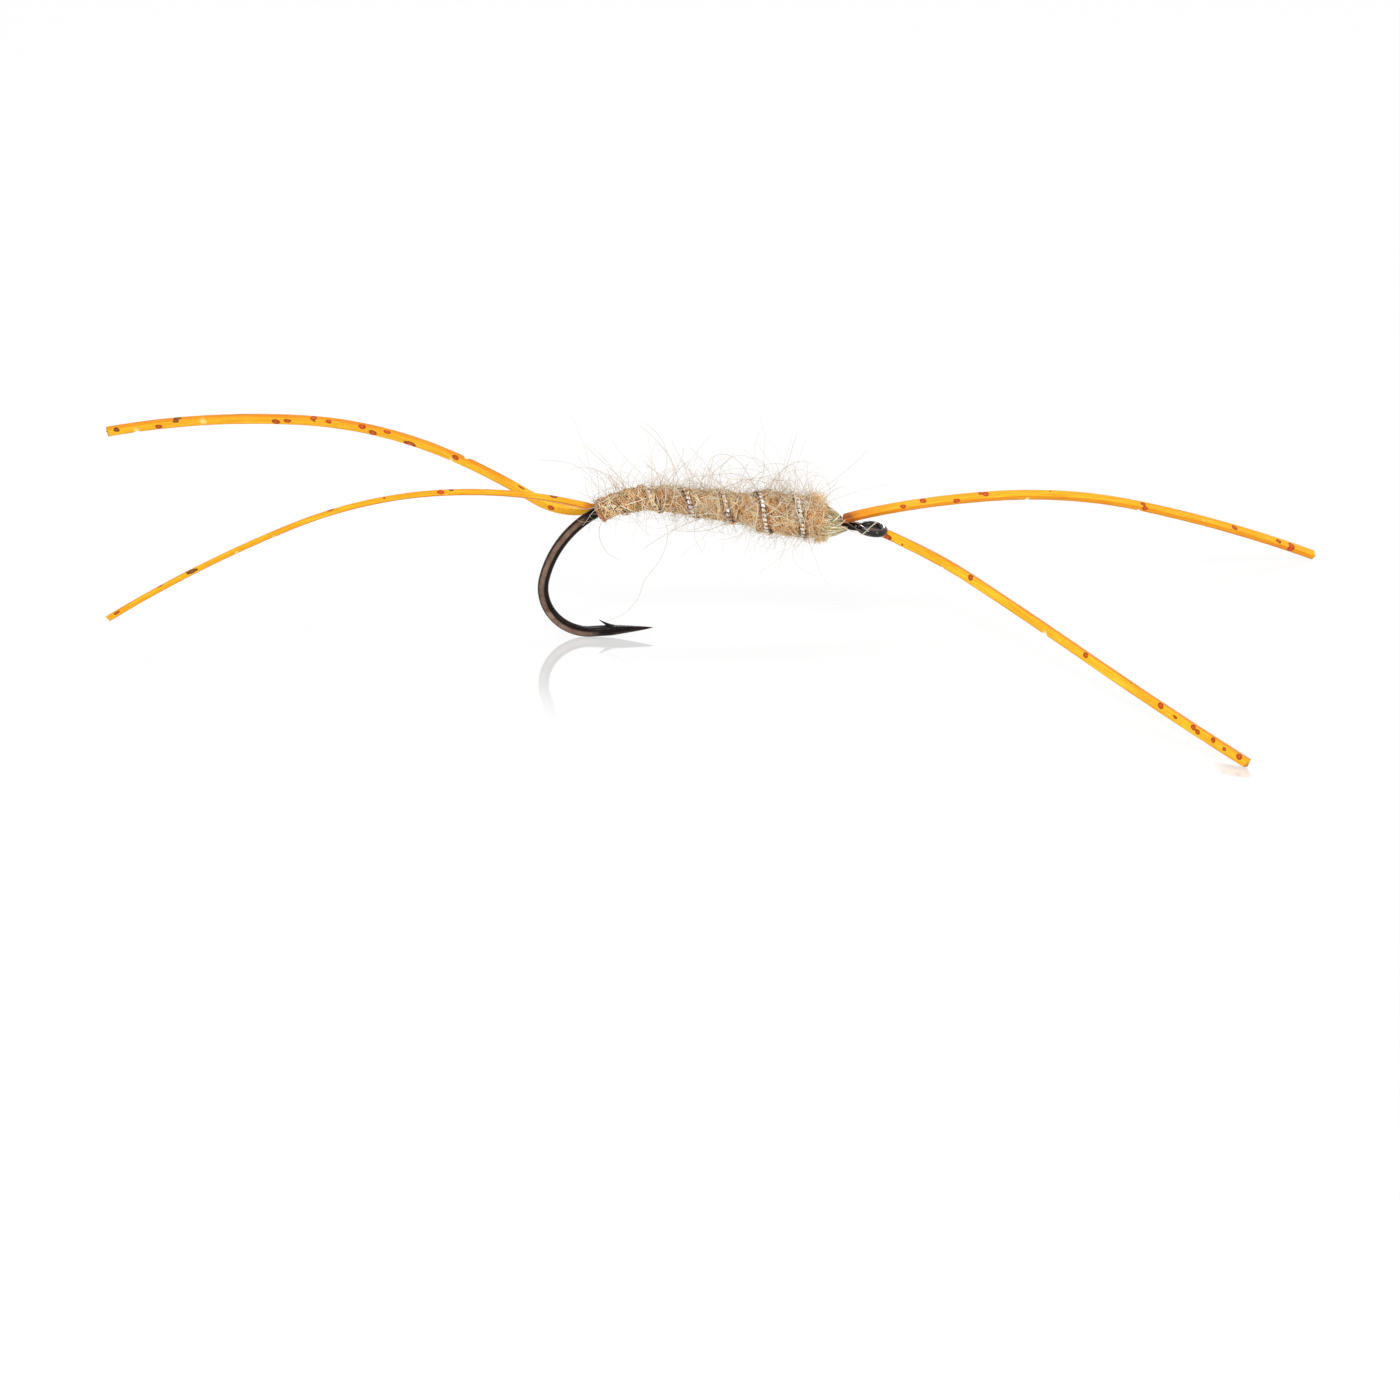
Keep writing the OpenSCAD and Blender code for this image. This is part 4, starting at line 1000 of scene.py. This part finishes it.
def winding(name, node, a, b, r0, r1, material, slot, thread, pitch, swell=0.0, spot=None):
    """Close turns of a thread of that diameter over a core, from radius r0 at a to r1 at b. They may swell
    below before they fall to the wire, and show a red spot at a place and clock angle."""
    m, per_turn = 8, 40
    turns = (b - a - thread) / pitch
    k = int(turns * per_turn)

    def cone(share, sunk):
        return r0 + (r1 - r0) * share - sunk - 2 * swell * ease((share - 0.72) / 0.28)

    share = np.linspace(0, 1, k)
    s = a + thread / 2 + share * (b - a - thread)
    clock = -360 * turns * share
    lump = 0.03 * noise(np.stack([share * turns, np.zeros(k), np.zeros(k)], -1), 0.35, 21)
    below = np.maximum(np.cos(np.radians(clock - 35)), 0) ** 3
    lump = lump + swell * np.exp(-((share - 0.75) / 0.3) ** 2) * below
    line = round_wire(s, cone(share, thread / 2) + lump, clock)
    u, v = sides(line, unit(round_wire(s, 1, clock) - round_wire(s, 0, 0)))
    g = circle(m)
    rings = line[:, None] + thread / 2 * (np.cos(g)[:, None] * u[:, None] + np.sin(g)[:, None] * v[:, None])
    lay = np.stack(np.broadcast_arrays(run_along(line)[:, None], g[None] * thread / 2, 0.0), -1).reshape(-1, 3)
    # Core under the turns
    n, cm = 24, 48
    cs = np.linspace(a + 0.01, b - 0.01, n)
    cr = cone(np.linspace(0, 1, n), thread * 0.62)
    bore = wire_radius(cs[[0, -1]]) + GAP
    cc = np.arange(cm) * 360 / cm
    core = np.concatenate([round_wire(cs[0], bore[0], cc)[None], round_wire(cs[:, None], cr[:, None], cc[None]),
                           round_wire(cs[-1], bore[1], cc)[None]])
    core = loft(core, closed=True)
    points, quads, tris = joined(loft(rings), core)
    red = np.zeros(len(points))
    if spot:
        red = np.exp(-(np.linalg.norm(points - round_wire(spot[0], r1, spot[1]), axis=1) / 0.14) ** 2)
    add_piece(name, points, quads, tris, material, HOOK_BODY, slot, [node],
              {"lay": np.concatenate([lay, core[0]]), "spot": red})


def head_radius(s):
    return HEAD_FRONT_R + (HEAD_REAR_R - HEAD_FRONT_R) * (s - HEAD_A) / (HEAD_B - HEAD_A)


def make_head():
    winding("head_winding", "head_wraps", HEAD_A, HEAD_B, HEAD_FRONT_R, HEAD_REAR_R, HEAD_THREAD,
            "head_thread", thread=0.11, pitch=0.1)
    # Straw fibres drawn forward over the cone, the longest of them along the neck under the far leg
    count, long_count, steps = 380, 90, 9
    each = (count, 1)
    u = np.linspace(0, 1, steps)[None]
    longer = (np.arange(count) < long_count)[:, None]
    c0 = np.where(longer, rng.uniform(5, 112, each), rng.uniform(0, 360, each))
    c = c0 + rng.normal(0, 24, each) * u
    s0 = rng.uniform(1.5, 2.3, each)
    s1 = np.where(longer, rng.uniform(0.36, 0.62, each), rng.uniform(0.68, 1.15, each))
    # Those that point at a leg stop short of it, so that it can sweep
    end = c[:, -1:] % 360
    at_leg = (np.abs(end - FAR_LEG[1]) < 50) | (np.abs(end - NEAR_LEG[1]) < 40)
    s1 = np.where(at_leg, np.maximum(s1, HEAD_A + 0.12), s1)
    s = s0 + (s1 - s0) * u
    r = np.clip(head_radius(s), wire_radius(s) + 0.05, HEAD_REAR_R)
    r = r + 0.02 + rng.uniform(0, 0.12, each) * np.sin(math.pi * u)
    rad = rng.uniform(0.012, 0.034, each) * np.clip(1.3 - u, 0.5, 1)
    add_hairs("head_straws", round_wire(s, r, c), rad, HEAD_STRAW, "head_thread")
    # The ruff of fur behind it, which comes farther forward below
    count, low_count = 620, 200
    low = np.arange(count) < low_count
    s = np.where(low, rng.uniform(1.45, 2.0, count), rng.uniform(1.85, 2.55, count))
    c = np.where(low, rng.normal(25, 38, count), rng.uniform(0, 360, count))
    r = np.where(low, 0.03 + head_radius(s), dub_radius(s) - 0.1)
    foot = round_fur(s, r, c)
    way = tilted(unit(round_fur(s, r + 1, c) - foot), unit(round_fur(s - 0.01, r, c) - foot), 0.1, 0.4, 0.35)
    length = rng.uniform(0.2, 0.55, count) + 0.3 * (np.abs(c - 170) < 60) - 0.08 * low
    root = np.where(low[:, None], round_wire(s, r, c), foot)
    path, rad = loose_hairs(root, way, length, rng.uniform(0.012, 0.026, count), 0.9, 6)
    add_hairs("collar_ruff", path, rad, PALE_FIBRE, clump=0.5)


def make_tail_binding():
    winding("tail_winding", "tail_binding", BIND_A, BIND_B, ABDOMEN_REAR_R + 0.03, BIND_R, BROWN_THREAD,
            "brown_thread", thread=0.12, pitch=0.11, swell=0.1, spot=(14.0, 150))
    lying_fibres("tail_fibres", FIBRE, 170, ABDOMEN_B - 0.4, BIND_B - 0.4, length=(0.4, 1.1),
                 radius=(0.012, 0.026), lift=(-0.02, 0.06), wound=0.8, clump=0.5)


hook = make_hook()
make_strands()
fur_core("abdomen_felt", "abdomen_dubbing", ABDOMEN_A, ABDOMEN_B)
fur_core("thorax_felt", "thorax_dubbing", THORAX_A, THORAX_B)
for part, a, b, n in (("abdomen", ABDOMEN_A, ABDOMEN_B, 1), ("thorax", THORAX_A, THORAX_B, 0.85)):
    lying_fibres(part + "_fibres", FIBRE, int(2000 * n), a, b, length=(0.5, 1.6), radius=(0.014, 0.03),
                 lift=(-0.03, 0.05), cover=0.1, clump=0.6)
    lying_fibres(part + "_top_fibres", PALE_FIBRE, int(520 * n), a, b, length=(0.6, 2.0), radius=(0.016, 0.034),
                 lift=(0.03, 0.12), steps=10, wound=0.4, cover=0.3)
lying_fibres("straw_hairs", STRAW, 130, THORAX_A + 0.2, ABDOMEN_B, length=(1.2, 3.2), radius=(0.024, 0.038),
             lift=(0.06, 0.2), steps=14, wound=0.2, cover=0.6)
make_fuzz()
make_strays()
make_rib()
make_head()
make_tail_binding()


# Stage, light and camera

def make_stage():
    """A white table, polished where the bend of the hook and the near leg stand on it."""
    bpy.ops.mesh.primitive_plane_add(size=6, location=(0, 0, FLOOR_Z * MM))
    floor = bpy.context.object
    floor.name = "floor"
    material = bpy.data.materials.new("pale_floor")
    material.use_nodes = True
    material.node_tree.nodes.clear()
    m = Nodes(material.node_tree)
    place = m.node("SeparateXYZ", i0=m.node("TexCoord").outputs["Object"]).outputs

    def patch(*edges):
        """A share that rises over each edge, given as an axis with the places where it is 0 and 1, in metres."""
        shares = [m.smooth(place[axis], 0.0, 1.0, start, full) for axis, start, full in edges]
        return functools.reduce(functools.partial(m.math, "MULTIPLY"), shares)

    bend = patch(("X", -0.023, -0.0185), ("X", -0.0095, -0.0125), ("Y", -0.0165, -0.001), ("Y", 0.009, 0.001))
    tip = patch(("X", 0.0172, 0.019), ("X", 0.0212, 0.0198), ("Y", -0.0225, -0.0198), ("Y", -0.016, -0.0185))
    matt = m.node("BsdfDiffuse", Color=(0.92, 0.92, 0.92, 1)).outputs[0]
    glow = m.node("Emission", Color=WHITE).outputs[0]
    gloss = m.node("BsdfGlossy", Color=WHITE, Roughness=0.06).outputs[0]
    base = m.node("MixShader", i0=m.smooth(m.direct_view(), 0.0, 0.86), i1=matt, i2=glow).outputs[0]
    polish = m.smooth(m.math("MAXIMUM", bend, tip), 0.0, 0.3)
    m.node("OutputMaterial", i0=m.node("MixShader", i0=polish, i1=base, i2=gloss).outputs[0])
    floor.data.materials.append(material)


def make_light():
    """An even white room and five lamps. The last two only make the wire's lacquer shine."""
    scene = bpy.context.scene
    scene.world = bpy.data.worlds.new("studio")
    scene.world.use_nodes = True
    room = Nodes(scene.world.node_tree)
    back = room.tree.nodes["Background"]
    room.put(back.inputs["Color"], WHITE)
    room.put(back.inputs["Strength"], room.smooth(room.direct_view(), 0.66, 1.0))
    polished = bpy.data.collections.new("polished")
    polished.objects.link(hook)
    # Name, place in metres, width, height, watts, what it lights
    lamps = (("key", (-0.14, -0.3, 0.36), 0.1, 0.1, 0.8, None),
             ("fill", (0.26, -0.26, 0.2), 0.08, 0.16, 0.35, None),
             ("strip", (0.0, 0.14, 0.4), 0.5, 0.03, 0.4, None),
             ("sheen", (-0.05, 0.12, 0.4), 0.2, 0.03, 0.8, polished),
             ("rim", (0.02, 0.4, 0.16), 0.06, 0.04, 0.25, polished))
    for name, place, wide, high, power, lit in lamps:
        lamp = bpy.data.lights.new(name, "AREA")
        lamp.shape = "RECTANGLE"
        lamp.size, lamp.size_y, lamp.energy = wide, high, power
        ob = bpy.data.objects.new(name, lamp)
        scene.collection.objects.link(ob)
        ob.location = place
        ob.rotation_euler = (-ob.location).to_track_quat("-Z", "Y").to_euler()
        if lit:
            ob.light_linking.receiver_collection = lit


def make_camera():
    """A long lens above the floor, for a square picture."""
    cam = bpy.data.cameras.new("camera")
    cam.lens, cam.sensor_width = 200, 36
    cam.clip_start, cam.clip_end = 0.02, 20
    ob = bpy.data.objects.new("camera", cam)
    bpy.context.scene.collection.objects.link(ob)
    ob.location = [c * MM for c in CAMERA_AT]
    ob.rotation_euler = (math.radians(90 - VIEW_ELEVATION), 0, 0)
    bpy.context.scene.camera = ob


make_stage()
make_light()
make_camera()
bpy.context.scene.view_settings.view_transform = "Standard"
